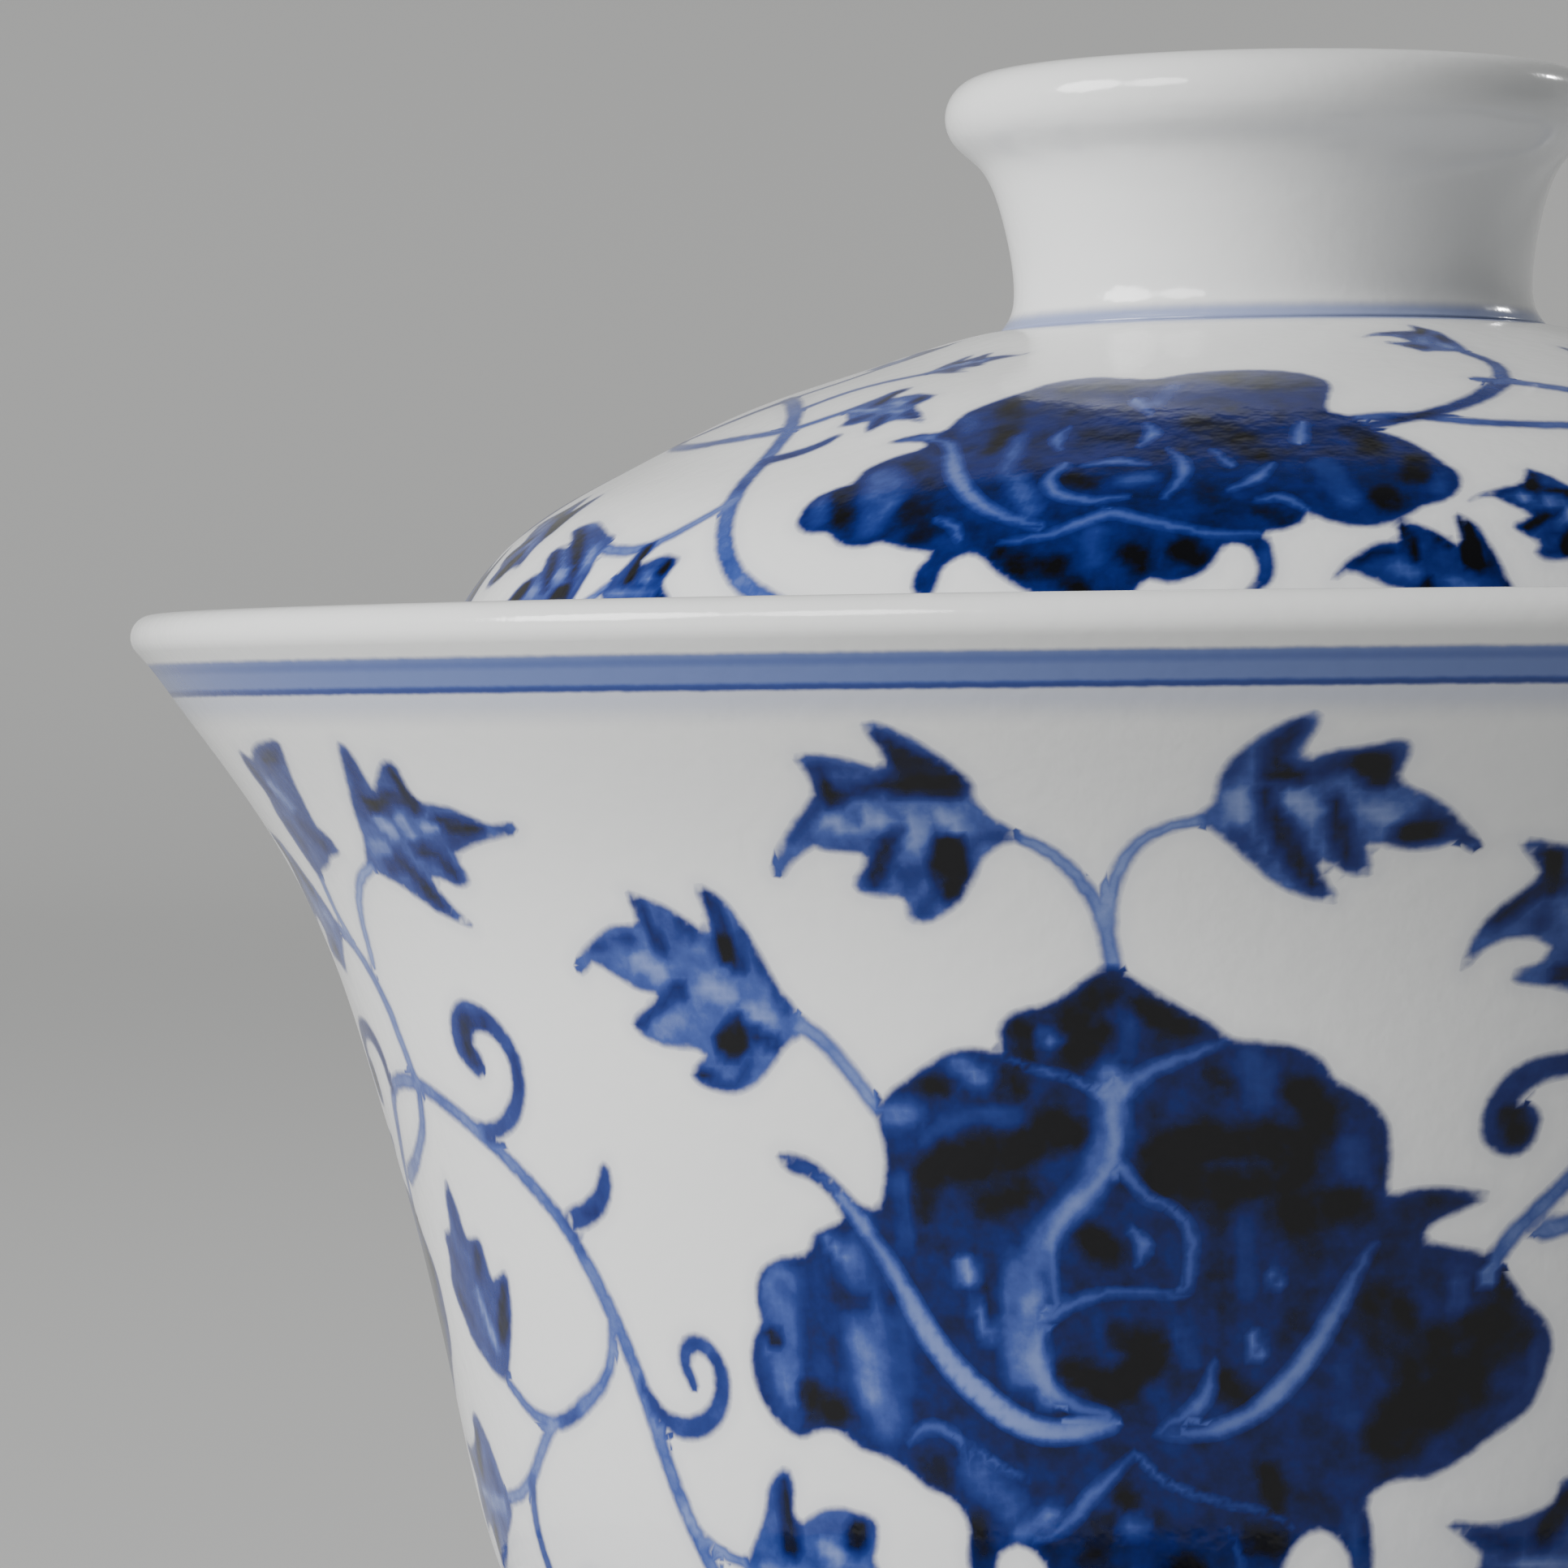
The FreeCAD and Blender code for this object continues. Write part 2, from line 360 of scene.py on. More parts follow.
def canvasColours(total, where, canvas):
    # The canvas's numbers for every point of a mesh, with unpainted points far from any edge
    colours = np.tile(list(unpainted.values()), (total, 1))
    colours[where] = np.column_stack([canvas[key] for key in unpainted])
    return colours


# Porcelain: white glaze over cobalt

glaze = {
    "white": (0.76, 0.765, 0.755, 1),
    "biscuit": (0.60, 0.50, 0.40, 1),
    "ink": [
        (0.0, (0.22, 0.28, 0.52, 1)), (0.2, (0.13, 0.18, 0.40, 1)), (0.38, (0.040, 0.072, 0.27, 1)),
        (0.55, (0.010, 0.026, 0.16, 1)), (0.73, (0.001, 0.009, 0.10, 1)), (0.87, (0.001, 0.004, 0.03, 1)),
        (0.96, (0.002, 0.002, 0.003, 1)),
    ],
    "roughness": 0.13, "biscuitRoughness": 0.8, "ior": 1.42,
    "edgeWander": 0.11,     # mm that a brushed edge wanders either way
    "toneWander": 0.22,     # how far the cobalt's tone drifts either way
    "edgeTone": 0.48,       # the tone that gathers along an edge, and how much of it
    "edgeShare": 0.55,
    "paleTone": 0.14,       # what is left of the tone along a pale line
    "haze": 0.1,            # blue that bleeds into the glaze round a shape, and how many mm out
    "hazeReach": 0.9,
    "ripple": 0.05,         # strength and depth in m of the fine pitting in the glaze
    "rippleDepth": 0.0004,
}


def nodeOf(tree, kind, settings=None, **inputs):
    # A shader node with its settings, and each input, by name or as i and its number, linked or set
    node = tree.nodes.new(kind)
    for key, value in (settings or {}).items():
        setattr(node, key, value)
    for key, value in inputs.items():
        numbered = key[0] == "i" and key[1:].isdigit()
        socket = node.inputs[int(key[1:]) if numbered else key.replace("_", " ")]
        if isinstance(value, bpy.types.NodeSocket):
            tree.links.new(value, socket)
        else:
            socket.default_value = value
    return node


def mathOf(tree, operation, *values, clamp=False):
    # One sum worked on its values
    inputs = {f"i{k}": value for k, value in enumerate(values)}
    return nodeOf(tree, "ShaderNodeMath", {"operation": operation, "use_clamp": clamp}, **inputs).outputs[0]


def mixed(tree, share, first, second, kind="FLOAT"):
    # First plus share of the way to second, for numbers, or for colours with the kind RGBA
    at, result = (2, 0) if kind == "FLOAT" else (6, 2)
    inputs = {"i0": share, f"i{at}": first, f"i{at + 1}": second}
    return nodeOf(tree, "ShaderNodeMix", {"data_type": kind}, **inputs).outputs[result]


def ramped(tree, value, low, high, start, end):
    # Smooth step of value from low to high, giving start to end
    return nodeOf(tree, "ShaderNodeMapRange", {"interpolation_type": "SMOOTHSTEP"}, Value=value,
                  From_Min=low, From_Max=high, To_Min=start, To_Max=end).outputs[0]


def porcelain(name, painted=True, lines=(), bare=None):
    # lines are (which, low, high, tone, softness, strength, beyond), in mm of z or radius, and are
    # drawn only where the other of the two is over beyond; bare is the height in mm below which the
    # clay has no glaze
    material = bpy.data.materials.new(name)
    material.use_nodes = True
    tree = material.node_tree
    shader = tree.nodes["Principled BSDF"]
    here = nodeOf(tree, "ShaderNodeTexCoord").outputs["Object"]
    mm = nodeOf(tree, "ShaderNodeVectorMath", {"operation": "SCALE"}, i0=here, Scale=1000.0).outputs[0]
    flat = nodeOf(tree, "ShaderNodeVectorMath", {"operation": "MULTIPLY"}, i0=mm, i1=(1, 1, 0)).outputs[0]
    radius = nodeOf(tree, "ShaderNodeVectorMath", {"operation": "LENGTH"}, i0=flat).outputs["Value"]
    height = nodeOf(tree, "ShaderNodeSeparateXYZ", i0=mm).outputs["Z"]

    def cloud(scale, detail):
        # Noise of so many lumps to the mm, from 0 to 1
        noise = nodeOf(tree, "ShaderNodeTexNoise", i0=mm, Scale=scale, Detail=detail, Roughness=0.55)
        return noise.outputs[0]

    def wandering(scale, detail, most):
        # Cloud's 0 to 1 spread to most either way
        return mathOf(tree, "MULTIPLY_ADD", cloud(scale, detail), 2 * most, -most)

    def split(key):
        # The three numbers that a canvas left on the mesh
        values = nodeOf(tree, "ShaderNodeAttribute", {"attribute_name": key})
        return nodeOf(tree, "ShaderNodeSeparateXYZ", i0=values.outputs["Vector"]).outputs

    def edgeOf(plain, side):
        # mm from the edge by the side's size, but never inside where the plain distance is clearly out
        bySide = mathOf(tree, "MULTIPLY_ADD", mathOf(tree, "ABSOLUTE", side), edgeDepth, -edgeDepth)
        return mathOf(tree, "MAXIMUM", bySide, mathOf(tree, "MULTIPLY_ADD", plain, 3.0, -0.25))

    wobble = wandering(1.6, 3.0, glaze["edgeWander"])
    cover, ink = 0.0, 0.5
    if painted:
        plainFill, plainPale, tone = split("paint")
        fillSide, paleSide, paleShare = split("paintSide")
        fill = mathOf(tree, "ADD", edgeOf(plainFill, fillSide), wobble)
        pale = mathOf(tree, "ADD", edgeOf(plainPale, paleSide), wobble)
        wash = mathOf(tree, "ADD", tone, wandering(0.8, 4.0, glaze["toneWander"]), clamp=True)
        edge = ramped(tree, fill, -0.32, -0.02, 0.0, glaze["edgeShare"])
        wash = mixed(tree, edge, wash, glaze["edgeTone"])
        light = mathOf(tree, "MULTIPLY", ramped(tree, pale, -0.35, 0.3, 1.0, 0.0), paleShare)
        ink = mixed(tree, light, wash, glaze["paleTone"])
        cover = ramped(tree, fill, -0.2, 0.27, 1.0, 0.0)
        haze = ramped(tree, plainFill, 0.0, glaze["hazeReach"], glaze["haze"], 0.0)
        cover = mathOf(tree, "MAXIMUM", cover, haze)
    for which, low, high, tone, soft, strength, beyond in lines:
        position, other = (height, radius) if which == "z" else (radius, height)
        value = mathOf(tree, "MULTIPLY_ADD", wobble, 0.4, position)
        shown = mathOf(tree, "MULTIPLY", mathOf(tree, "GREATER_THAN", other, beyond), strength)
        up = ramped(tree, value, low - soft, low + soft, 0.0, 1.0)
        down = ramped(tree, value, high - soft, high + soft, 1.0, 0.0)
        band = mathOf(tree, "MULTIPLY", up, down)
        ink = mixed(tree, band, ink, tone)
        cover = mathOf(tree, "MAXIMUM", mathOf(tree, "MULTIPLY", band, shown), cover)
    ramp = nodeOf(tree, "ShaderNodeValToRGB", Fac=ink)
    stops = ramp.color_ramp.elements
    while len(stops) < len(glaze["ink"]):
        stops.new(0.5)
    for stop, (position, shade) in zip(stops, glaze["ink"]):
        stop.position = position
        stop.color = shade
    colour = mixed(tree, cover, glaze["white"], ramp.outputs[0], "RGBA")
    if bare is None:
        shader.inputs["Roughness"].default_value = glaze["roughness"]
    else:
        dry = ramped(tree, height, bare - 0.1, bare + 0.1, 1.0, 0.0)
        colour = mixed(tree, dry, colour, glaze["biscuit"], "RGBA")
        rough = mixed(tree, dry, glaze["roughness"], glaze["biscuitRoughness"])
        tree.links.new(rough, shader.inputs["Roughness"])
    tree.links.new(colour, shader.inputs["Base Color"])
    ripple = nodeOf(tree, "ShaderNodeBump", Strength=glaze["ripple"], Distance=glaze["rippleDepth"],
                    Height=cloud(1.1, 2.0))
    tree.links.new(ripple.outputs[0], shader.inputs["Normal"])
    shader.inputs["IOR"].default_value = glaze["ior"]
    return material


# Saucer

saucer = {
    "radius": 56.5, "height": 13.2, "foot": 31.0, "footInner": 28.4, "ceiling": 2.3,
    "wellRadius": 23.2, "wellFloor": 5.2, "lip": 0.95, "lipSlope": 60, "fine": 640, "coarse": 160,
    "repeats": 5, "turn": 25, "polar": (10.5, 0.76), "wander": 0.3,
    "bare": 0.35,       # height of the unglazed part of the foot
    "lines": [
        ("radius", 54.2, 55.0, 0.4, 0.12, 1.0, 11.9), ("radius", 53.1, 53.4, 0.5, 0.1, 1.0, 11.1),
        ("radius", 27.6, 28.2, 0.5, 0.12, 1.0, 4.0),
    ],
}


def saucerRings():
    # The profile from the middle underneath, round the foot, under side, lip, dish, bead and well
    s = saucer
    slope = s["lipSlope"]
    lip = arc((s["radius"] - s["lip"], s["height"] - s["lip"]), s["lip"], -slope, 180 - slope, 11)
    under = clampedCurve([(s["foot"] + 0.5, 3.7), (37, 4.5), (44, 6.1), (50.6, 8.6), lip[0]],
                         (1, 0.08), along(-slope), 22)
    dish = clampedCurve([lip[-1], (50.2, 10.5), (43.6, 8.2), (36.6, 6.8), (30.4, 6.3), (26.6, 6.5)],
                        along(180 - slope), (-1, 0.12), 400)
    bead = clampedCurve([(26.6, 6.5), (24.9, 7.3), (s["wellRadius"] + 0.35, 6.6)],
                        (-1, 0.12), (-0.25, -1), 12)
    dish = evenly(dish, 84)
    c, f = s["coarse"], s["fine"]
    return stretches([
        (np.array([[0, s["ceiling"]]]), 1),
        (straight((2, s["ceiling"]), (s["footInner"] - 0.5, s["ceiling"]), 9), c),
        (arc((s["footInner"] + 0.5, 0.5), 0.5, 180, 270, 6), c),
        (arc((s["foot"] - 0.5, 0.5), 0.5, 270, 360, 6), c),
        (under, c), (lip, c), (dish[1:3], c), (dish[3:-2], f), (dish[-2:], c), (bead, c),
        (arc((s["wellRadius"] - 0.5, s["wellFloor"] + 0.5), 0.5, 0, -90, 5), c),
        (straight((20, s["wellFloor"]), (2, s["wellFloor"]), 7), c),
        (np.array([[0, s["wellFloor"]]]), 1),
    ])


# Bowl

bowl = {
    "base": 5.25, "mouth": 49.85, "height": 56.0, "lip": 0.95, "lipSlope": 44,
    "foot": 21.5, "footInner": 19.2, "recess": 4.5, "floor": 7.7, "wall": 2.2,
    "fine": 640, "coarse": 160, "paintRows": 134,
    "flatRadius": 38.0,     # radius at which the wall is laid flat for painting
    "repeats": 4, "wander": 0.3, "bare": 5.6,
}
rimEdge = bowl["base"] + 53.9     # height of the lip's lower edge, where the painting starts
bowl["lines"] = [
    ("z", rimEdge - 2.2, rimEdge - 1.3, 0.0, 0.8, 0.5, 30),
    ("z", rimEdge - 1.42, rimEdge - 0.03, 0.2, 0.12, 1.0, 30),
    ("z", rimEdge - 0.5, rimEdge - 0.2, 0.28, 0.14, 1.0, 30),
    ("z", rimEdge - 1.48, rimEdge - 1.2, 0.48, 0.12, 1.0, 30),
    ("z", 12.6, 12.95, 0.5, 0.1, 1.0, 24), ("z", 9.2, 9.6, 0.5, 0.12, 1.0, 20.6),
]


def bowlOutside():
    # The wall from the top of the foot ring to the lip, and the lip's arc
    b = bowl
    slope = b["lipSlope"]
    lip = arc((b["mouth"] - b["lip"], b["height"] - b["lip"]), b["lip"], -slope, 180 - slope, 15)
    outer = clampedCurve([(22.1, 5.3), (25.6, 6.3), (29.6, 8.3), (32.7, 11.4), (34.6, 15.6), (36.1, 22),
                          (37.8, 29.6), (39.6, 36), (41.4, 41.5), (43.6, 46), (46.2, 49.9), (48.1, 52.5),
                          lip[0]], (1, 0.05), along(-slope), 900)
    return outer, lip


def bowlRings():
    # The profile from the middle underneath, round the foot, up the wall, over the lip and inside
    b = bowl
    outer, lip = bowlOutside()
    wall = b["wall"]
    shares = [0.94, 0.87, 0.76, 0.62, 0.48, 0.36, 0.26, 0.17]
    depths = [1.85, 1.95, wall, wall + 0.1, wall + 0.2, wall + 0.3, wall + 0.5, wall + 0.6]
    inner = clampedCurve([lip[-1], *inset(outer, shares, depths), (18, b["floor"] + 0.6), (0, b["floor"])],
                         along(180 - b["lipSlope"]), (-1, 0), 400)
    outer = evenly(outer, b["paintRows"] + 12)
    c, f = b["coarse"], b["fine"]
    rings, columns = stretches([
        (np.array([[0, b["recess"]]]), 1),
        (straight((2, b["recess"]), (b["footInner"] - 0.45, b["recess"]), 7), c),
        (arc((b["footInner"] + 0.45, 0.45), 0.45, 180, 270, 6), c),
        (arc((b["foot"] - 0.45, 0.45), 0.45, 270, 360, 6), c),
        (outer[:8], c), (outer[8:-4], f), (outer[-4:], c), (lip, c),
        (evenly(inner, 44)[:-1], c),
        (np.array([[0, b["floor"]]]), 1),
    ])
    rings[:, 1] += b["base"]
    return rings, columns


# Lid

lid = {
    "base": 5.25, "edgeRadius": 40.2, "wall": 2.3, "land": 68.0, "landRadius": 12.3, "edge": 1.0,
    "edgeSlope": 20, "fine": 640, "coarse": 160, "paintRows": 112,
    "knobRim": 14.25, "knobWaist": 11.3, "knobHeight": 11.2, "knobRoll": 1.75, "knobSlope": 42,
    "knobColumns": 192,
    "repeats": 4, "turn": -11, "wander": 0.25,
    "lines": [("radius", 11.5, 12.9, 0.18, 0.35, 0.8, 72), ("z", 50.6, 51.2, 0.5, 0.12, 1.0, 38.6)],
    "knobLines": [("z", 72.5, 73.85, 0.16, 0.3, 0.8, 10)],
}


def lidRings():
    # The profile from the middle inside, down to the rounded edge, up the dome and over the land
    d = lid
    top = d["land"]
    slope = d["edgeSlope"]
    edge = arc((d["edgeRadius"] - d["edge"], top - 23), d["edge"], 180 + slope, 360 + slope, 13)
    outer = clampedCurve([edge[-1], (39.35, top - 19.9), (38.1, top - 16.9), (36.6, top - 13.7),
                          (34.7, top - 10.5), (32.2, top - 8.1), (28.3, top - 5.9), (23.2, top - 3.4),
                          (17.6, top - 1.5), (d["landRadius"], top)], along(slope), (-1, 0.16), 800)
    shares = [0.92, 0.78, 0.64, 0.5, 0.36, 0.22, 0.12]
    inner = clampedCurve([(0, top - d["wall"] - 0.4), *inset(outer, shares, [d["wall"]] * 7), edge[0]],
                         (1, 0), along(180 + slope), 300)
    outer = evenly(outer, d["paintRows"] + 6)
    c, f = d["coarse"], d["fine"]
    rings, columns = stretches([
        (np.array([[0, top - d["wall"] - 0.4]]), 1),
        (evenly(inner, 34)[1:], c), (edge, c), (outer[:5], c), (outer[5:-1], f), (outer[-1:], c),
        (straight((9, top), (2, top), 3), c),
        (np.array([[0, top]]), 1),
    ])
    rings[:, 1] += d["base"]
    return rings, columns


def knobRings():
    # The profile from the inner foot out, up the waist, over the rolled rim and down inside
    d = lid
    waist, roll, slope = d["knobWaist"], d["knobRoll"], d["knobSlope"]
    over = arc((d["knobRim"] - roll, d["knobHeight"] - roll), roll, -slope, 150, 26)
    outer = clampedCurve([(d["landRadius"] - 0.25, 0), (waist + 0.18, 0.75), (waist, 2), (waist + 0.12, 3.3),
                          (waist + 0.4, 4.7), (waist + 0.8, 6.1), (waist + 1.45, 7.3), over[0]],
                         (-1, 0.8), along(-slope), 36)
    inner = clampedCurve([over[-1], (10.1, 8.4), (9.3, 5.8), (8.8, 2.9), (8.7, 0)], along(150), (0, -1), 22)
    foot = straight((8.7, 0), (d["landRadius"] - 0.25, 0), 3)
    rings, columns = stretches([(line, d["knobColumns"]) for line in (foot, outer, over, inner)])
    rings[:, 1] += d["base"] + d["land"]
    return rings, columns


# Leaves, flowers and scrolls, with their points as (across, down) in mm
# Each leaf stands where it grows on the bowl: across from the front, down from the lip's lower edge

leaves = {
    "frontLeft": {
        "base": (-8.6, 8.5), "tone": 0.36,
        "outline": [
            (-8.4, 8.5), (-9.2, 7.7), (-9.6, 6.9), (-9.6, 6.1), (-10.1, 5.3), (-10.8, 4.5), (-11.5, 3.8),
            (-12.3, 3.3), (-12.7, 3.5), (-12.5, 4.3), (-12.3, 5.1), (-12.6, 5.4), (-13.6, 5),
            (-14.6, 4.8), (-15.3, 4.9), (-15.1, 5.8), (-15.1, 6.6), (-15.5, 7.2), (-16.1, 7.9),
            (-16.7, 8.7), (-17.2, 9.4), (-17.4, 10.1), (-16.9, 9.4), (-16.2, 9), (-15, 9.3), (-14, 9.4),
            (-14, 9.9), (-14.5, 10.6), (-14.4, 11.1), (-13.6, 11.3), (-12.9, 11.3), (-12.8, 11.8),
            (-12.8, 12.3), (-12.1, 12.4), (-11.4, 12), (-10.8, 11.5), (-10.2, 10.6), (-9.8, 9.7),
            (-9.2, 9.1),
        ],
        "washes": [
            ([(-12.3, 4.1), (-11.8, 5), (-11.1, 5.6), (-10.3, 6.3)], [0.35, 0.6, 0.85, 0.6], 0.93),
            (-12, 6.3, -10.3, 6.2, 0.5, 1), (-14.2, 5.4, -13.4, 5.7, 0.4, 0.5),
            (-14.7, 5.5, -14.6, 7, 0.4, 0.76), (-14.5, 6.6, -14.4, 6.8, 0.4, 1),
            (-13.7, 6.6, -12.5, 6.2, 0.35, 0.85), ([(-15, 7.1), (-15.8, 8), (-16.3, 8.7)], [0.3], 0.64),
            ([(-16, 8.9), (-14.5, 9), (-13.4, 8.9)], [0.2], 0.6), (-14, 7.3, -13.9, 8, 0.15, 0.6),
            ([(-12.6, 8.3), (-13.2, 9.4), (-13.8, 10.6)], [0.3, 0.35, 0.4], 0.86),
            (-12.4, 10.2, -12.7, 11, 0.4, 0.55), (-12, 11.4, -12.2, 12, 0.3, 0.6),
            ([(-10.8, 9), (-11, 10.2), (-11.1, 11.1)], [0.6, 0.8, 0.5], 1),
            (-9.6, 8.8, -8.8, 8.6, 0.3, 0.6), (-14.7, 7.9, -14.5, 8.3, 0.28, 0.1),
            (-13.3, 7.8, -12.9, 8.1, 0.28, 0.14), (-11.8, 7.8, -11.8, 8.6, 0.25, 0.1),
            (-10.7, 7.8, -10.5, 8.2, 0.32, 0.12),
        ],
    },
    "frontRight": {
        "base": (-2.4, 7.9), "tone": 0.4,
        "outline": [
            (-2.6, 7.9), (-2, 7.1), (-1.8, 6), (-1.3, 5), (-0.5, 4.1), (0.3, 3.4), (1.2, 3), (1.3, 3.6),
            (0.9, 4.5), (0.9, 5.2), (1.6, 4.8), (2.7, 4.6), (3.7, 4.3), (4.1, 4.6), (4, 5.3), (3.8, 6),
            (4.2, 6.5), (5, 7), (5.7, 7.7), (6.1, 8.5), (6.6, 9.3), (5.8, 9), (5, 9.3), (4, 9.3), (3, 9),
            (3, 9.6), (3.1, 10.3), (2.4, 10.4), (1.7, 9.9), (1.3, 9.7), (1.6, 10.6), (2, 11.5),
            (1.1, 11.4), (0.1, 10.9), (-0.7, 10.1), (-1.4, 9.2), (-2, 8.5),
        ],
        "washes": [
            ([(0.7, 3.6), (0, 4.7), (-0.2, 5.8)], [0.3, 0.45, 0.4], 0.85), (0.3, 5.8, 0.7, 6, 0.4, 1),
            ([(1.3, 5.8), (2.2, 5.2), (3.4, 5)], [0.4], 0.72), (2.9, 5.4, 3.2, 5.9, 0.65, 1),
            ([(-0.4, 6.7), (0.1, 8.3), (0.7, 9.8), (1.3, 10.9)], [0.3, 0.5, 0.5, 0.35], 0.87),
            ([(1.8, 7), (2, 8.4), (2.4, 9.8)], [0.25, 0.45, 0.35], 0.84), (4.2, 8.6, 5.3, 8.3, 0.55, 1),
            (4.8, 7.4, 5.9, 8.7, 0.3, 0.72), (-1.5, 6, -1, 5, 0.25, 0.6),
            (-1.4, 8.7, -0.5, 9.8, 0.3, 0.55), (-1.2, 6.9, -1.2, 7.8, 0.35, 0.12),
            (0.6, 7.1, 1.1, 7.5, 0.42, 0.1), (2.8, 7.5, 3.4, 7.8, 0.4, 0.16),
        ],
    },
    "left": {
        "base": (-18.2, 16.3), "tone": 0.39,
        "outline": [
            (-17.9, 16.2), (-18.5, 15.1), (-18.9, 13.8), (-19.4, 12.4), (-19.9, 11.4), (-20.7, 10.8),
            (-20.9, 11.3), (-20.8, 12.2), (-21, 12.9), (-21.6, 12.4), (-22.4, 11.8), (-23.3, 11.4),
            (-24, 11.2), (-24, 12), (-24.1, 12.6), (-25.3, 12.7), (-26.4, 13.3), (-27.3, 13.9),
            (-27.9, 14.7), (-27, 14.3), (-26, 14.8), (-25, 15.4), (-24.1, 15.7), (-24.9, 16.3),
            (-25.6, 16.8), (-25.4, 17.3), (-24.2, 17.8), (-22.8, 17.9), (-22.4, 18.2), (-23, 18.6),
            (-23.2, 19.1), (-22.6, 19.5), (-21.5, 19.7), (-20.5, 19.4), (-19.6, 18.7), (-18.8, 17.8),
            (-18.1, 17.2),
        ],
        "washes": [
            ([(-20.4, 11.3), (-20.2, 13.2), (-20, 14.3)], [0.35, 0.4, 0.4], 0.8),
            (-20.4, 13.3, -20.4, 13.9, 0.4, 1),
            ([(-19.4, 12.8), (-18.8, 14.6), (-18.4, 16)], [0.25, 0.3, 0.2], 0.66),
            ([(-23.8, 11.6), (-23.5, 12.6), (-23.3, 13.7)], [0.3, 0.3, 0.3], 0.78),
            (-22, 12.4, -21.6, 13, 0.35, 0.66), (-22.8, 12, -22.4, 13.2, 0.3, 0.5),
            ([(-26.9, 13.8), (-25.6, 13.4), (-24.6, 13.3)], [0.2, 0.3], 0.62),
            ([(-26.6, 14.3), (-25.4, 15.1), (-24.4, 15.5)], [0.15], 0.5),
            ([(-25.3, 17), (-24.2, 16.2), (-23, 15.4)], [0.3], 0.72), (-23, 15.3, -22.9, 15.5, 0.3, 0.8),
            ([(-21.2, 17.6), (-20.6, 16.8)], [0.6, 0.45], 0.9), (-21.1, 17.6, -20.7, 17.4, 0.55, 1),
            (-19.8, 17.2, -19, 17.7, 0.35, 0.8), (-22.9, 18.9, -22.2, 19.2, 0.3, 0.84),
            ([(-20.5, 18.7), (-21.4, 19.4), (-22.4, 19.4)], [0.25], 0.68),
            (-21.8, 18.7, -21.3, 18.8, 0.25, 0.42), (-24.4, 14.2, -23.6, 14.7, 0.4, 0.14),
            (-21.6, 15.3, -20.8, 15.6, 0.4, 0.14), (-24.4, 17.1, -23.2, 16.7, 0.4, 0.26),
            (-19.9, 16.3, -19.2, 16.6, 0.3, 0.2),
        ],
    },
    "farLeft": {
        "base": (-38.5, 10.2), "tone": 0.46,
        "outline": [
            (-38.9, 10), (-38.1, 8.9), (-37.6, 7.6), (-36.8, 6.3), (-36.1, 5.1), (-35.6, 4.3),
            (-35.2, 4.2), (-35, 4.8), (-35.1, 5.7), (-35.1, 6.5), (-34.4, 5.9), (-33.7, 5.3), (-33, 5),
            (-32.7, 5.4), (-32.8, 6.2), (-32.6, 7), (-31.6, 7.2), (-30.6, 7.5), (-29.8, 7.9),
            (-28.9, 8.3), (-28, 8.1), (-28.3, 8.6), (-29.3, 8.8), (-30.3, 9), (-31.3, 9.3), (-32.2, 9.7),
            (-32, 10.3), (-32.1, 10.9), (-32.9, 11.1), (-33.8, 10.8), (-34.5, 10.8), (-34.2, 11.5),
            (-33.7, 12.2), (-33.1, 12.9), (-34.1, 12.7), (-35.2, 12.3), (-36.2, 11.7), (-37.2, 11.1),
            (-38.2, 10.7),
        ],
        "washes": [
            ([(-35.5, 4.8), (-35.9, 6.2), (-37, 7.6)], [0.25, 0.35, 0.4], 0.66),
            (-36, 7.3, -34.8, 7.1, 0.4, 0.95), (-34.5, 6.8, -33.4, 7, 0.35, 0.8),
            ([(-33.2, 5.6), (-33, 6.9), (-33.1, 7.4)], [0.3, 0.5, 0.4], 0.92),
            ([(-32.2, 7.9), (-31.2, 8.3), (-30, 8.4)], [0.3, 0.5, 0.25], 0.92),
            (-32, 9, -30.9, 8.9, 0.25, 0.72), (-37.2, 10.3, -36.2, 10, 0.35, 0.8),
            ([(-36, 9.9), (-35.2, 11.3), (-34.5, 12.2)], [0.4, 0.5, 0.3], 0.86),
            ([(-34.4, 9.4), (-33.4, 9.6), (-32.8, 10.5)], [0.4, 0.4, 0.4], 0.86),
            (-36, 8.2, -35.5, 8.5, 0.4, 0.12), (-34.5, 8, -34.4, 8.7, 0.35, 0.16),
            (-33.2, 8.3, -32.6, 8.3, 0.26, 0.12), (-37.7, 9.3, -36.8, 9.2, 0.4, 0.26),
        ],
    },
    "side": {
        "base": (-45.2, 10.6), "tone": 0.52,
        "outline": [
            (-45.6, 10.9), (-46.2, 9.6), (-46.4, 8), (-45.8, 6.8), (-46, 5.6), (-45.3, 4.6), (-44.3, 5),
            (-43.3, 4.5), (-41.6, 4.1), (-40.1, 4.1), (-40.5, 5), (-41.2, 6.1), (-41.6, 7.2),
            (-41.9, 8.3), (-41.3, 8.9), (-41.1, 9.7), (-42.3, 9.9), (-43.4, 10.4), (-44.4, 10.6),
        ],
        "washes": [
            (-42.8, 5.1, -41.3, 4.7, 0.4, 0.88), (-43.6, 8.4, -42.4, 9.3, 0.5, 0.76),
            (-45.3, 5.4, -45, 6.6, 0.4, 0.8), (-45.6, 8.4, -45.2, 9.4, 0.4, 0.75),
            (-44.2, 6.4, -43.6, 7.4, 0.4, 0.2),
        ],
    },
    "low": {
        "base": (-41, 32.8), "tone": 0.56,
        "outline": [
            (-40.8, 32.9), (-39.9, 31.8), (-39, 30.4), (-38.5, 29.1), (-38.4, 28.1), (-39.3, 28.3),
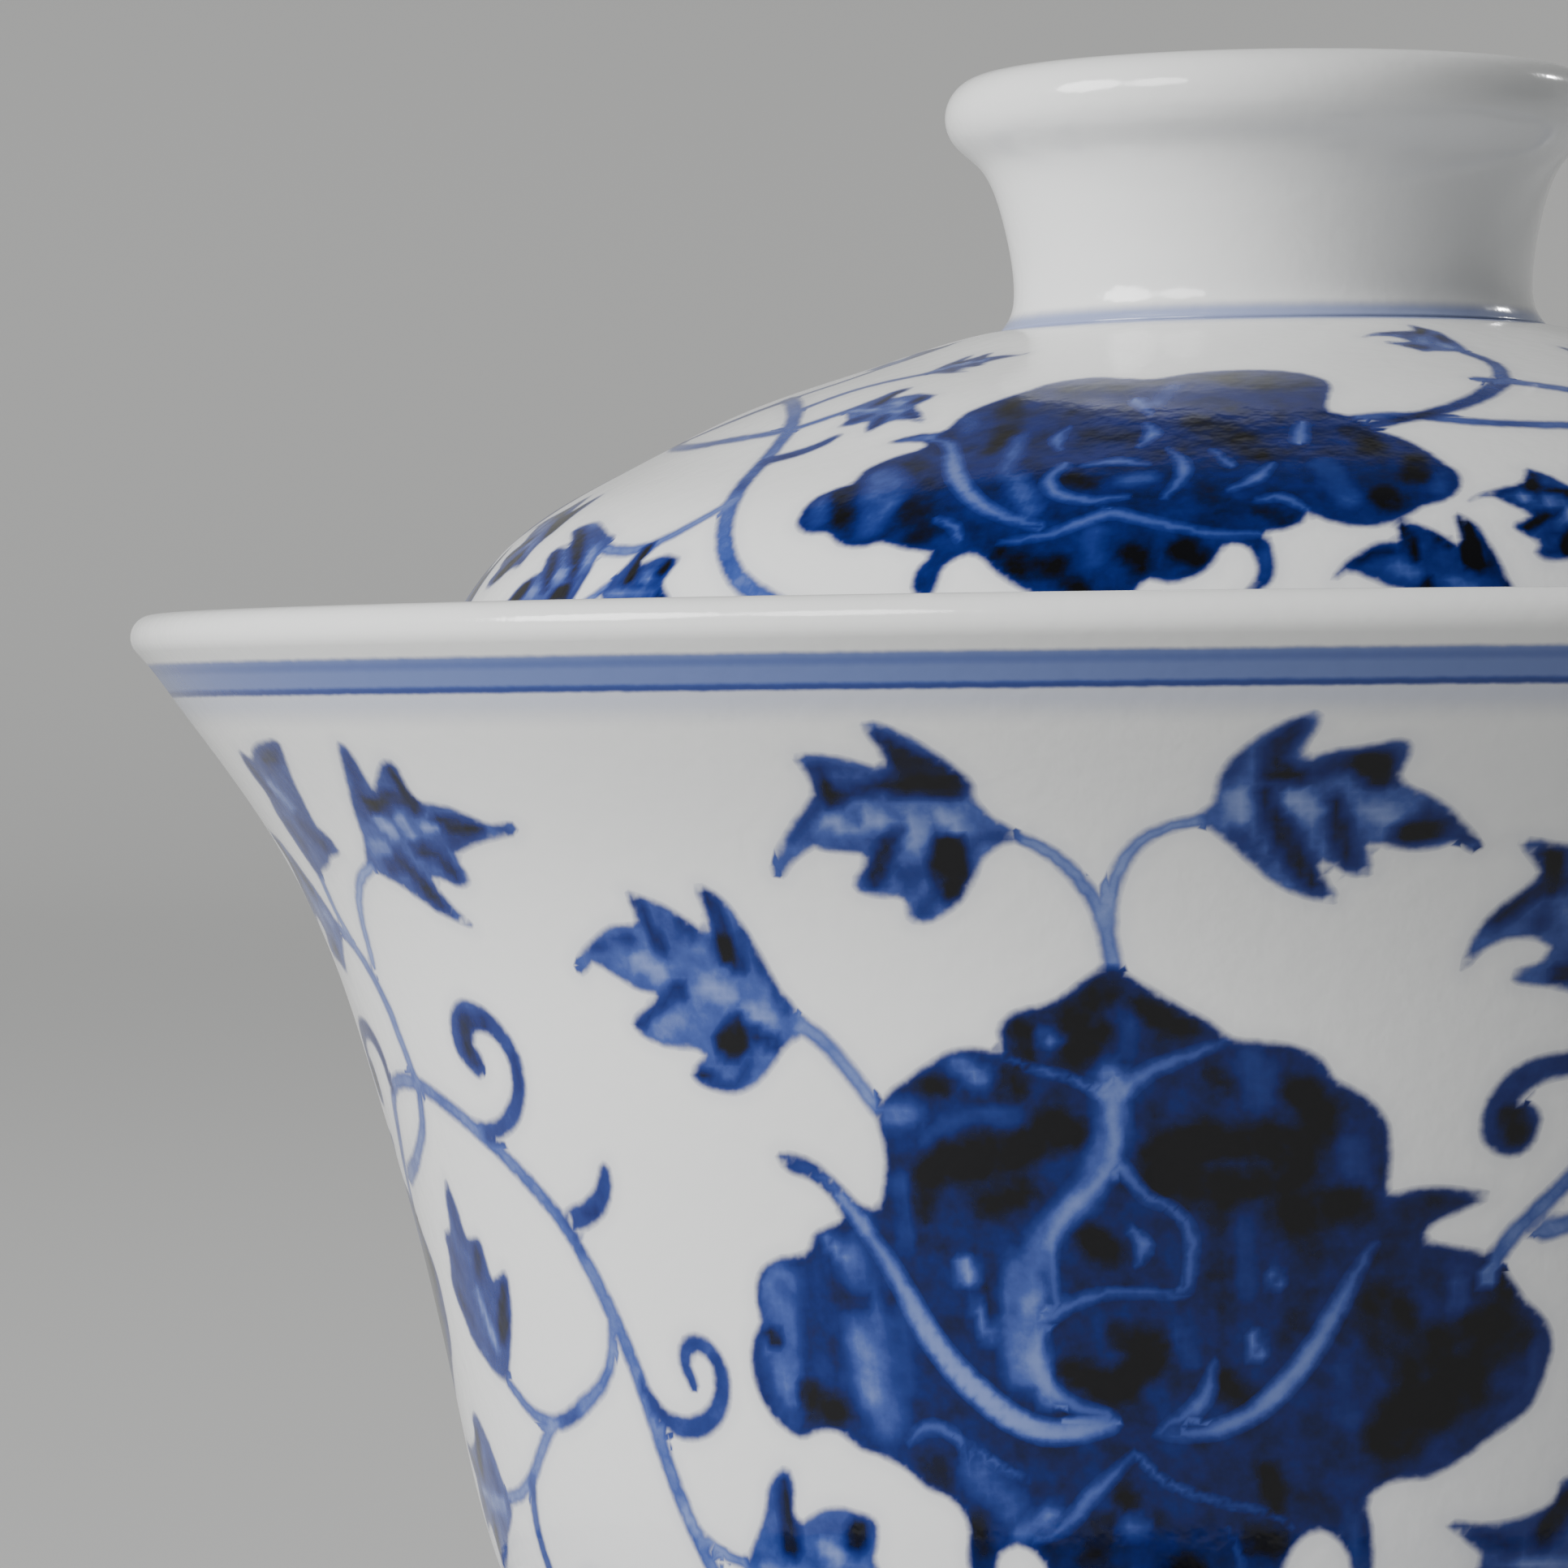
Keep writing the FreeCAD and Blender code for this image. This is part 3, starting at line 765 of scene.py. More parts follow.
            (-40.1, 28.5), (-40.2, 27.6), (-40.4, 26.8), (-41.1, 26.8), (-41.9, 26.8), (-42.1, 25.7),
            (-42.6, 24.4), (-43.4, 25.4), (-43.9, 26.6), (-45, 26.9), (-45.2, 28), (-45.9, 29.2),
            (-45.2, 30.6), (-44.4, 31.6), (-43, 32.4), (-41.8, 32.9),
        ],
        "washes": [
            (-42.7, 25.5, -42.9, 27.2, 0.35, 0.66), (-41, 27.4, -41.6, 28.4, 0.45, 0.84),
            ([(-39.1, 28.9), (-39.8, 30.2), (-40.5, 31.2)], [0.3, 0.6, 0.3], 0.93),
            (-44.4, 27.6, -44, 28.8, 0.4, 0.78), (-45, 29.6, -44, 30.6, 0.4, 0.8),
            (-42.2, 29.4, -41.4, 31.4, 0.3, 0.22),
        ],
    },
    "hooked": {
        "base": (13.2, 13.3), "tone": 0.44,
        "outline": [
            (13.6, 13.4), (13, 12.1), (12, 11), (11, 10), (10.1, 9.3), (9.2, 9.1), (7.9, 8.9), (8.3, 9.7),
            (8.7, 10.4), (8.2, 11.1), (7.4, 11.9), (6.7, 13), (6.4, 14.5), (6.9, 13.8), (7.7, 13.3),
            (8.7, 13.2), (9.4, 13.6), (9.1, 14.2), (8.3, 14.5), (8.3, 15), (9.4, 15.2), (10.3, 15.4),
            (11.2, 15.7), (11.9, 15), (12.8, 14.3),
        ],
        "washes": [
            (9, 9.6, 9.3, 10.9, 0.5, 0.96), (8.6, 11.2, 7.3, 12.4, 0.4, 0.82),
            (9.9, 14.7, 10.8, 14.6, 0.42, 0.9), (10.6, 10.6, 11.6, 11.6, 0.4, 0.88),
            (9, 12.3, 8.9, 12.6, 0.35, 0.7), (10, 12.1, 10.4, 13.2, 0.35, 0.3),
            (11.6, 12.8, 12.4, 13.2, 0.3, 0.2),
        ],
    },
    "right": {
        "base": (15.3, 38.6), "tone": 0.5,
        "outline": [
            (15.6, 38.5), (14.9, 37.2), (14, 35.9), (12.6, 35), (11.5, 35.3), (11.3, 36), (10.4, 36.5),
            (8.8, 36.9), (6.8, 36.8), (7.6, 37.6), (8.3, 38.3), (7.7, 39.4), (7.4, 40.8), (8.5, 40.4),
            (9.6, 40.2), (9.8, 41), (9.6, 42.3), (10.9, 42), (12.3, 41.2), (13.6, 40.2), (14.8, 39.4),
        ],
        "washes": [
            (11.8, 36.1, 11, 37.4, 0.55, 0.93), (8.2, 37.3, 9.5, 37.9, 0.4, 0.76),
            (10.2, 41.2, 11, 40.2, 0.45, 0.92), (8.5, 39.6, 9.4, 39.2, 0.35, 0.8),
            (13.4, 36.8, 13.8, 38, 0.4, 0.6), ([(14.4, 38.6), (12, 38.8), (10, 38.6)], [0.25], 0.16),
        ],
    },
    "under": {
        "base": (-24.4, 39.5), "tone": 0.45,
        "outline": [
            (-24.8, 39.5), (-24.1, 38.4), (-23.3, 37.1), (-22.9, 36), (-22.3, 35.4), (-21.7, 35.2),
            (-21.5, 36), (-21.7, 37), (-21.3, 37.4), (-20.6, 37), (-19.6, 36.7), (-18.6, 36.8),
            (-17.6, 37.1), (-17.6, 37.9), (-17.9, 38.8), (-17.3, 39.6), (-16.2, 40.4), (-15, 41.6),
            (-16.6, 41.4), (-18, 41.6), (-18.6, 42.4), (-19, 43.5), (-19.9, 42.6), (-20.6, 41.8),
            (-21.6, 42.3), (-22.8, 42.4), (-22.9, 41.4), (-23.7, 40.4),
        ],
        "washes": [
            ([(-22, 35.9), (-22.1, 38.5)], [0.35, 0.5], 0.93), (-18.5, 37.5, -18.7, 38.1, 0.5, 0.97),
            (-20.6, 37.7, -19.8, 37.5, 0.3, 0.5), (-17.7, 40.2, -16.2, 41, 0.3, 0.86),
            (-19.6, 41, -19.1, 42.7, 0.35, 0.86), (-22.4, 41.5, -21.3, 40.8, 0.4, 0.8),
            (-20.4, 38.4, -19.8, 38.7, 0.4, 0.14),
            ([(-23.8, 39.6), (-21, 39.8), (-18.6, 40)], [0.22], 0.16),
        ],
    },
    "thorn": {
        "base": (-31.8, 25.4), "tone": 0.6,
        "outline": [
            (-32.1, 25), (-30.9, 24.6), (-29.9, 23.9), (-29.3, 23), (-28.8, 23), (-28.9, 24), (-29.6, 25),
            (-30.6, 25.6), (-31.8, 25.9),
        ],
        "washes": [
            (-31, 25.1, -30.3, 25, 0.3, 0.75),
        ],
    },
}

bowlScroll = {
    "stalks": [
        ([(-46.6, 13.3), (-44.8, 14.6), (-43.6, 16.6), (-43.1, 18.8), (-42.7, 20.3)], [0.34, 0.4, 0.4],
         0.24),
        ([(-51.4, 26.6), (-50.7, 25), (-48.9, 22.9), (-47.2, 20.9), (-45.3, 20.2), (-42.7, 20.2),
         (-40.2, 20.9), (-38, 21.8), (-36, 22.9), (-34.2, 24.2), (-32.7, 25.6), (-31.5, 27.5),
         (-30.5, 29.6), (-29.6, 32), (-28.9, 34.6), (-28.3, 36.6), (-27.4, 38.8), (-25.9, 41.5),
         (-23, 44.6), (-18, 46.6), (-12, 46.9), (-8, 45.4), (-6, 42.6)],
         [0.36, 0.36, 0.4, 0.42, 0.46, 0.48, 0.45, 0.4, 0.4], 0.33),
        ([(-42.7, 20.4), (-43.6, 22), (-45, 23), (-46.8, 23.9), (-49.4, 24.7)], [0.36, 0.34, 0.45], 0.28),
        ([(-43.4, 14.8), (-42.4, 12.7), (-40.7, 11.1), (-38.6, 10.2)], [0.28, 0.26], 0.14),
        ([(-45, 14.4), (-45.7, 12.6), (-45.3, 10.7)], [0.3, 0.28], 0.2),
        ([(-38.6, 21.6), (-36.5, 21.9), (-34.7, 21.3), (-33.5, 20.1), (-33.2, 18.6), (-34, 17.4),
         (-35.3, 16.9), (-36.4, 17.3), (-36.8, 18.2), (-36.2, 18.9)],
         [0.3, 0.4, 0.45, 0.45, 0.5, 0.62, 0.8, 0.85, 0.7], 0.56),
        ([(-30.7, 29.6), (-31.2, 31.2), (-32.2, 32.4), (-33.7, 33.3), (-35.4, 34.1), (-37, 34.4),
         (-38.8, 34.1), (-40.8, 33)], [0.28, 0.32, 0.4, 0.34, 0.28], 0.3),
        ([(-36.8, 34.4), (-38.4, 35.6), (-40, 36.9), (-42, 37.9), (-44.4, 38.4)], [0.34, 0.34, 0.3], 0.24),
        ([(-40.2, 37.1), (-40.9, 39), (-40.8, 41), (-40, 43), (-38.2, 44.3), (-36.2, 43.9), (-35.4, 42.5),
         (-36.2, 41.4), (-37.3, 41.9)], [0.34, 0.45, 0.45, 0.5, 0.6], 0.45),
        ([(-29.5, 32.2), (-28.6, 33.4), (-27.3, 33.9), (-25.9, 33.6), (-24.9, 32.7), (-24.6, 31.4),
         (-25.1, 30.5), (-26, 30.3), (-26.6, 31), (-26.3, 32)],
         [0.3, 0.45, 0.5, 0.5, 0.45, 0.42, 0.4, 0.36, 0.3], 0.54),
        ([(-5.7, 14.6), (-5.8, 13.2), (-6.1, 11.6), (-7, 9.9), (-8, 8.9), (-8.8, 8.5)], [0.36, 0.3, 0.24],
         0.24), ([(-5.8, 13), (-5.6, 11.3), (-5, 9.7), (-4, 8.5), (-2.5, 7.9)], [0.3, 0.26, 0.22], 0.18),
        ([(-15, 20.5), (-16, 18.9), (-17, 17.5), (-18.2, 16.5)], [0.34, 0.36, 0.42], 0.26),
        ([(12.9, 20.6), (12.9, 19.4), (11.9, 18.5), (10.3, 18.4), (8.9, 18.9), (8.1, 20), (8.1, 21.1),
         (8.7, 21.3), (8.9, 20.6)], [0.36, 0.5, 0.5, 0.55, 0.6, 0.75, 0.75], 0.7),
        ([(-28, 37.6), (-26.6, 38.8), (-24.6, 39.5)], [0.24, 0.26], 0.2),
        ([(-16.2, 9), (-16.9, 9.6), (-17.3, 10.2)], [0.34, 0.26], 0.4),
        ([(5.6, 8.2), (6.1, 8.8), (6.4, 9.2)], [0.34, 0.26], 0.6),
        ([(-26.2, 13.7), (-27, 14.1), (-27.6, 14.6)], [0.34, 0.26], 0.4),
        ([(-29.8, 8.4), (-29, 8.4), (-28.3, 8.3)], [0.3, 0.26], 0.4),
        ([(-5.7, 42), (-10, 44.6)], [0.6, 0.15], 0.6), ([(-5.7, 42), (-1, 45)], [0.6, 0.15], 0.6),
    ],
    "washes": [
        ([(-34.7, 17.2), (-36.2, 17.3), (-36.5, 18.4), (-36, 19.1)], [0.3, 0.5, 0.5, 0.3], 0.82),
        (-33.3, 19.6, -33.3, 18.6, 0.3, 0.72), (-37.6, 21.8, -40, 21.1, 0.6, 0.34),
        (8.6, 20.4, 8.8, 21.1, 0.5, 1), (9.8, 19.1, 11, 19, 0.1, 0.4), (-25.2, 32, -24.8, 31, 0.3, 0.72),
        (-28.6, 33, -27.6, 33.6, 0.3, 0.62), (-32.6, 25.4, -31.8, 26.6, 0.4, 0.5),
        (-36, 34.3, -34.6, 34, 0.4, 0.5),
    ],
    "leaves": [
        ("frontLeft",), ("frontRight",), ("left",), ("farLeft",), ("side",), ("low",), ("hooked",),
        ("right",), ("under",), ("thorn",),
    ],
    "flower": {
        "tone": 0.79,
        "outline": [
            (-5.7, 14.3), (-4.6, 15), (-3.5, 15.8), (-2.4, 16.5), (-1.6, 17.2), (-0.6, 17.3), (0.6, 17.5),
            (1.5, 18), (2.1, 18.9), (3.1, 19.5), (3.9, 20.5), (4.1, 21.6), (4.1, 22.7), (4.1, 23.5),
            (5, 23.3), (6.4, 23.3), (7.9, 23.6), (7, 24.2), (5.9, 24.7), (5.5, 25.4), (6.8, 25.7),
            (7.9, 26), (8.8, 26.8), (9.5, 27.8), (10.4, 28.7), (10.8, 29.7), (10.5, 31.2), (9.9, 32.4),
            (8.5, 33.4), (7.3, 34.3), (5.9, 35), (4.6, 35.1), (3.5, 35.8), (3.7, 37.2), (3.7, 38.9),
            (3.1, 40.3), (1.8, 41.3), (2.7, 39.6), (2.8, 38.4), (2.2, 37.4), (1.3, 37.1), (0.5, 37.7),
            (0, 38.8), (-0.3, 40.3), (-1.4, 41.8), (-3.2, 42.8), (-5.2, 43.2), (-7, 42.6), (-8.6, 41.2),
            (-9.6, 39.6), (-10.3, 38.3), (-11.2, 37.9), (-12, 38.3), (-12.4, 39.4), (-13, 40.4),
            (-13.5, 38.8), (-13.3, 37.2), (-13.9, 36.2), (-15, 35.7), (-15.9, 35), (-16.9, 34.5),
            (-18, 34.2), (-18.9, 33.6), (-19.8, 33.6), (-20.9, 33.9), (-22, 33.3), (-22.7, 32.3),
            (-22.9, 31), (-22.6, 29.9), (-22.1, 29.2), (-22.1, 28.1), (-21.7, 27.1), (-20.7, 26.5),
            (-19.3, 26.2), (-18.8, 25.4), (-17.9, 25), (-17.4, 24.7), (-17.8, 23.9), (-18.6, 23.2),
            (-19.6, 22.8), (-19.9, 22.2), (-19.2, 22.1), (-18.1, 22.5), (-17.3, 23.3), (-16.5, 24.1),
            (-15.8, 24.2), (-15.4, 23.3), (-15.2, 22.2), (-15.2, 21.4), (-15.3, 20.5), (-14.8, 19.6),
            (-13.7, 18.8), (-12.8, 18.2), (-11.9, 17.7), (-10.9, 17.6), (-10.1, 17.7), (-10.1, 16.8),
            (-9.4, 16.1), (-8.3, 15.8), (-7.4, 15.3), (-6.6, 14.6),
        ],
        "washes": [
            ([(-19.6, 22.3), (-18.4, 22.9), (-17.6, 23.8)], [0.3], 0.55),
            (-17.8, 23, -16.4, 25, 0.3, 0.4),
            ([(-20.7, 27.5), (-21.2, 29.5), (-21.2, 32)], [0.9, 1, 0.9], 0.44),
            ([(-17.2, 26), (-17, 28.5), (-17, 31), (-16.6, 33)], [0.5, 0.9, 1.3, 0.9], 0.47),
            ([(-17.3, 29.6), (-17, 32)], [0.5, 0.6], 0.32), (-18.2, 25.6, -17.6, 26.4, 0.3, 0.36),
            (-21.4, 27.8, -20.9, 28.6, 0.4, 0.34), (-21.4, 31.4, -21, 32, 0.4, 0.34),
            ([(-19.1, 26.6), (-18.9, 29), (-19.5, 31.5)], [0.3, 0.45, 0.5], 0.72),
            (-20.1, 32, -19.1, 32.8, 0.65, 1), (-21.7, 29.7, -21.5, 29.9, 0.4, 0.95),
            (-18.2, 28, -17, 28.1, 0.45, 0.82), ([(-22.1, 31), (-22, 32.4), (-21, 33.3)], [0.25], 0.6),
            ([(-15.4, 28.6), (-15.6, 31.5)], [0.4, 0.5], 0.6), (-14.7, 20.4, -13.9, 20.3, 0.55, 0.36),
            (-11.7, 18.3, -11, 18.9, 0.45, 0.4),
            ([(-13.4, 21.3), (-11.5, 20.4), (-9.8, 20.4)], [0.3], 0.56),
            (-13, 19.2, -12.6, 19.2, 0.45, 1), (-9.9, 18.8, -9.6, 19.3, 0.4, 0.97),
            (-8.6, 20.7, -7.6, 21, 0.65, 1),
            ([(-8.3, 21.2), (-10.5, 21.9), (-12.6, 22.4), (-13.6, 23)], [0.7, 0.8, 0.75, 0.5], 1),
            ([(-6.1, 18.8), (-6.2, 21), (-7.4, 23.6), (-9.2, 25.4), (-9.9, 28), (-10, 31)],
             [0.6, 0.6, 0.5, 0.4], 0.36), (-13.7, 23, -13.8, 24.4, 0.4, 0.95),
            (-11.2, 23.9, -10, 23.3, 0.7, 0.93), (-14.7, 23, -14.7, 25.6, 0.3, 0.58),
            (-12.4, 26.5, -12.3, 27, 0.4, 0.22), (-12.1, 28.2, -11.7, 29.4, 0.25, 0.28),
            ([(-10.2, 26.4), (-10.6, 28.4), (-10.5, 31)], [0.5, 0.7, 0.6], 0.42),
            (-11.6, 27.4, -11.4, 28.2, 0.3, 0.85),
            ([(-9.6, 27.4), (-10, 29.6), (-9.4, 31.8)], [0.4, 0.6, 0.5], 0.3),
            (-9.3, 16.8, -9.1, 17.9, 0.45, 0.98), (-7.3, 16.3, -5.9, 15.1, 0.55, 0.99),
            (-7.5, 17.8, -6.6, 17, 0.65, 0.98), (-4.9, 16, -3.3, 16.8, 0.45, 0.99),
            (-5.2, 16.4, -5.4, 17.7, 0.3, 0.62), (-8.4, 17.1, -8.1, 17.4, 0.25, 0.36),
            (-0.9, 18.1, -0.7, 19.7, 0.5, 0.56), (2.6, 21.8, 3, 23, 0.5, 0.64),
            (-2.4, 18.5, -1.8, 19.2, 0.35, 0.97),
            ([(0.8, 19.2), (1.6, 20.6), (0.4, 21.6)], [0.6, 0.7, 0.7], 1),
            ([(-0.5, 21.4), (-3.4, 21.5), (-4.9, 21.9)], [0.6, 0.8, 0.4], 1),
            ([(-4.6, 23), (-2, 23.2), (0.6, 22.6)], [0.7], 1), (0.2, 24.1, 2.8, 24, 0.8, 0.97),
            (-2.5, 24.4, -2.2, 26.6, 0.5, 0.88), (0.7, 25.2, 1.2, 26.2, 0.55, 0.9),
            (-1.4, 25, -1.2, 27.4, 0.4, 0.66), (-0.3, 26.7, -0.1, 27.2, 0.25, 0.32),
            (-1.1, 29.3, -0.9, 30, 0.25, 0.26), (-2.1, 27.6, -2.2, 29.4, 0.3, 0.86),
            (0.4, 28.6, 0, 29.8, 0.3, 0.88), (-7.3, 25.3, -6.5, 25.8, 0.6, 1),
            (-4.4, 25, -4.5, 26.4, 0.25, 0.8),
            ([(-8.4, 30.7), (-6.8, 31.4), (-5.4, 30.4)], [0.6, 0.7, 0.7], 1),
            (-6.3, 29.2, -4.7, 29.5, 0.55, 0.96), (-4, 29.2, -3.5, 30.3, 0.35, 0.62),
            (-2.3, 31, -1.5, 31.8, 0.45, 0.97), (4, 28.2, 4.8, 30, 1.1, 0.93),
            (6.3, 29.8, 8.8, 29.2, 1.1, 0.94), ([(7.2, 31.3), (5, 32.6), (4, 33.5)], [1.1, 1.2, 0.7], 1),
            (8.5, 26.8, 8.9, 27.6, 0.45, 0.97), (6.8, 27.2, 7, 28, 0.35, 0.54),
            (4.8, 24.3, 5.6, 23.9, 0.35, 0.86), ([(10.2, 29.6), (10, 31.4), (8.8, 32.7)], [0.25], 0.64),
            (2.4, 30.6, 2.6, 32.4, 0.5, 0.66), (-14.9, 34.4, -14.3, 34.9, 0.5, 0.9),
            (-12.8, 35, -11.4, 36.2, 0.7, 0.5), (-12.9, 36.9, -12.7, 38, 0.35, 0.92),
            (-11, 37.4, -9.6, 36.6, 0.4, 0.4), (-8, 38, -7.2, 36.8, 0.5, 0.92),
            (-6.5, 35.6, -6.2, 36, 0.35, 0.96), (-6.3, 37, -5.9, 37, 0.4, 0.4),
            (-0.6, 34.8, -0.3, 36, 0.45, 0.97), (-1.2, 37.4, -0.4, 37.6, 0.5, 0.97),
            (-4, 38.8, -5, 40.6, 0.8, 0.97), (-2, 40, -2.6, 41.6, 0.4, 0.55),
            (2.8, 36.4, 3.2, 38.6, 0.25, 0.55),
        ],
        "pale": [
            ([(-17.3, 23.9), (-16.5, 25.1), (-15.7, 26.4), (-15, 27.8), (-14.3, 29.3), (-13.3, 30.7),
             (-12.2, 31.8), (-11, 32.7), (-9.6, 33.2), (-8, 33.1), (-6.8, 32.8)],
             [0.26, 0.38, 0.5, 0.56, 0.5, 0.34]),
            ([(3.6, 25.5), (2.8, 26.9), (2.1, 28.3), (1.3, 29.7), (0.4, 30.9), (-0.7, 32), (-2, 32.8),
             (-3.6, 33.2), (-5, 33.2)], [0.12, 0.34, 0.42, 0.42, 0.34, 0.14]),
            ([(-10, 17.9), (-9, 18.4), (-7.6, 18.8), (-6.4, 19.5)], [0.1, 0.16, 0.22]),
            ([(-1.8, 17.3), (-3.3, 17.9), (-4.8, 18.6), (-5.6, 19.3)], [0.1, 0.28, 0.34]),
            ([(-6, 19), (-6.1, 20.5), (-6.1, 21.8), (-6.8, 23.1), (-7.9, 24), (-8.7, 25.2), (-8.9, 26.6),
             (-8.9, 27.9)], [0.2, 0.24, 0.22, 0.26, 0.2]),
            ([(-5.9, 22.4), (-5, 23.6), (-4, 24.1), (-3.4, 25), (-3.4, 26.3), (-3.6, 27.4)],
             [0.3, 0.2, 0.24, 0.18]),
            ([(-9.2, 28.6), (-8.2, 28), (-7, 27.6), (-5.4, 27.5), (-3.8, 27.6)], [0.3, 0.24, 0.18, 0.12]),
            ([(-9.3, 28.8), (-9.8, 30), (-9.5, 31.2), (-8.4, 32.1), (-6.9, 32.5)], [0.2, 0.28, 0.3, 0.24]),
            ([(-5.7, 24.9), (-5.2, 25.6), (-5.5, 26.4)], [0.12, 0.34, 0.12]),
            ([(-2.6, 30.2), (-2.9, 31.4), (-3.6, 32.3), (-4.7, 32.9)], [0.08, 0.34, 0.32, 0.12]),
            ([(-15.7, 33.9), (-15, 33.3), (-14.1, 33.2), (-13.3, 33.8), (-13.2, 34.8)],
             [0.1, 0.28, 0.24, 0.08]),
            ([(-10.4, 37.7), (-9, 37), (-8, 35.9), (-6.9, 34.9), (-6.2, 34.2)], [0.12, 0.32, 0.28, 0.12]),
            ([(-12.9, 33.8), (-11.8, 34.6), (-10.5, 35.2)], [0.08, 0.18, 0.08]),
            ([(-6, 34), (-4.6, 35.2), (-2.6, 35.9), (-0.7, 36.3), (0.4, 36.9)], [0.14, 0.16, 0.12, 0.08]),
            ([(-2.2, 37), (-1.7, 38.6), (-2.4, 40.5)], [0.06, 0.14, 0.06]),
        ],
    },
}

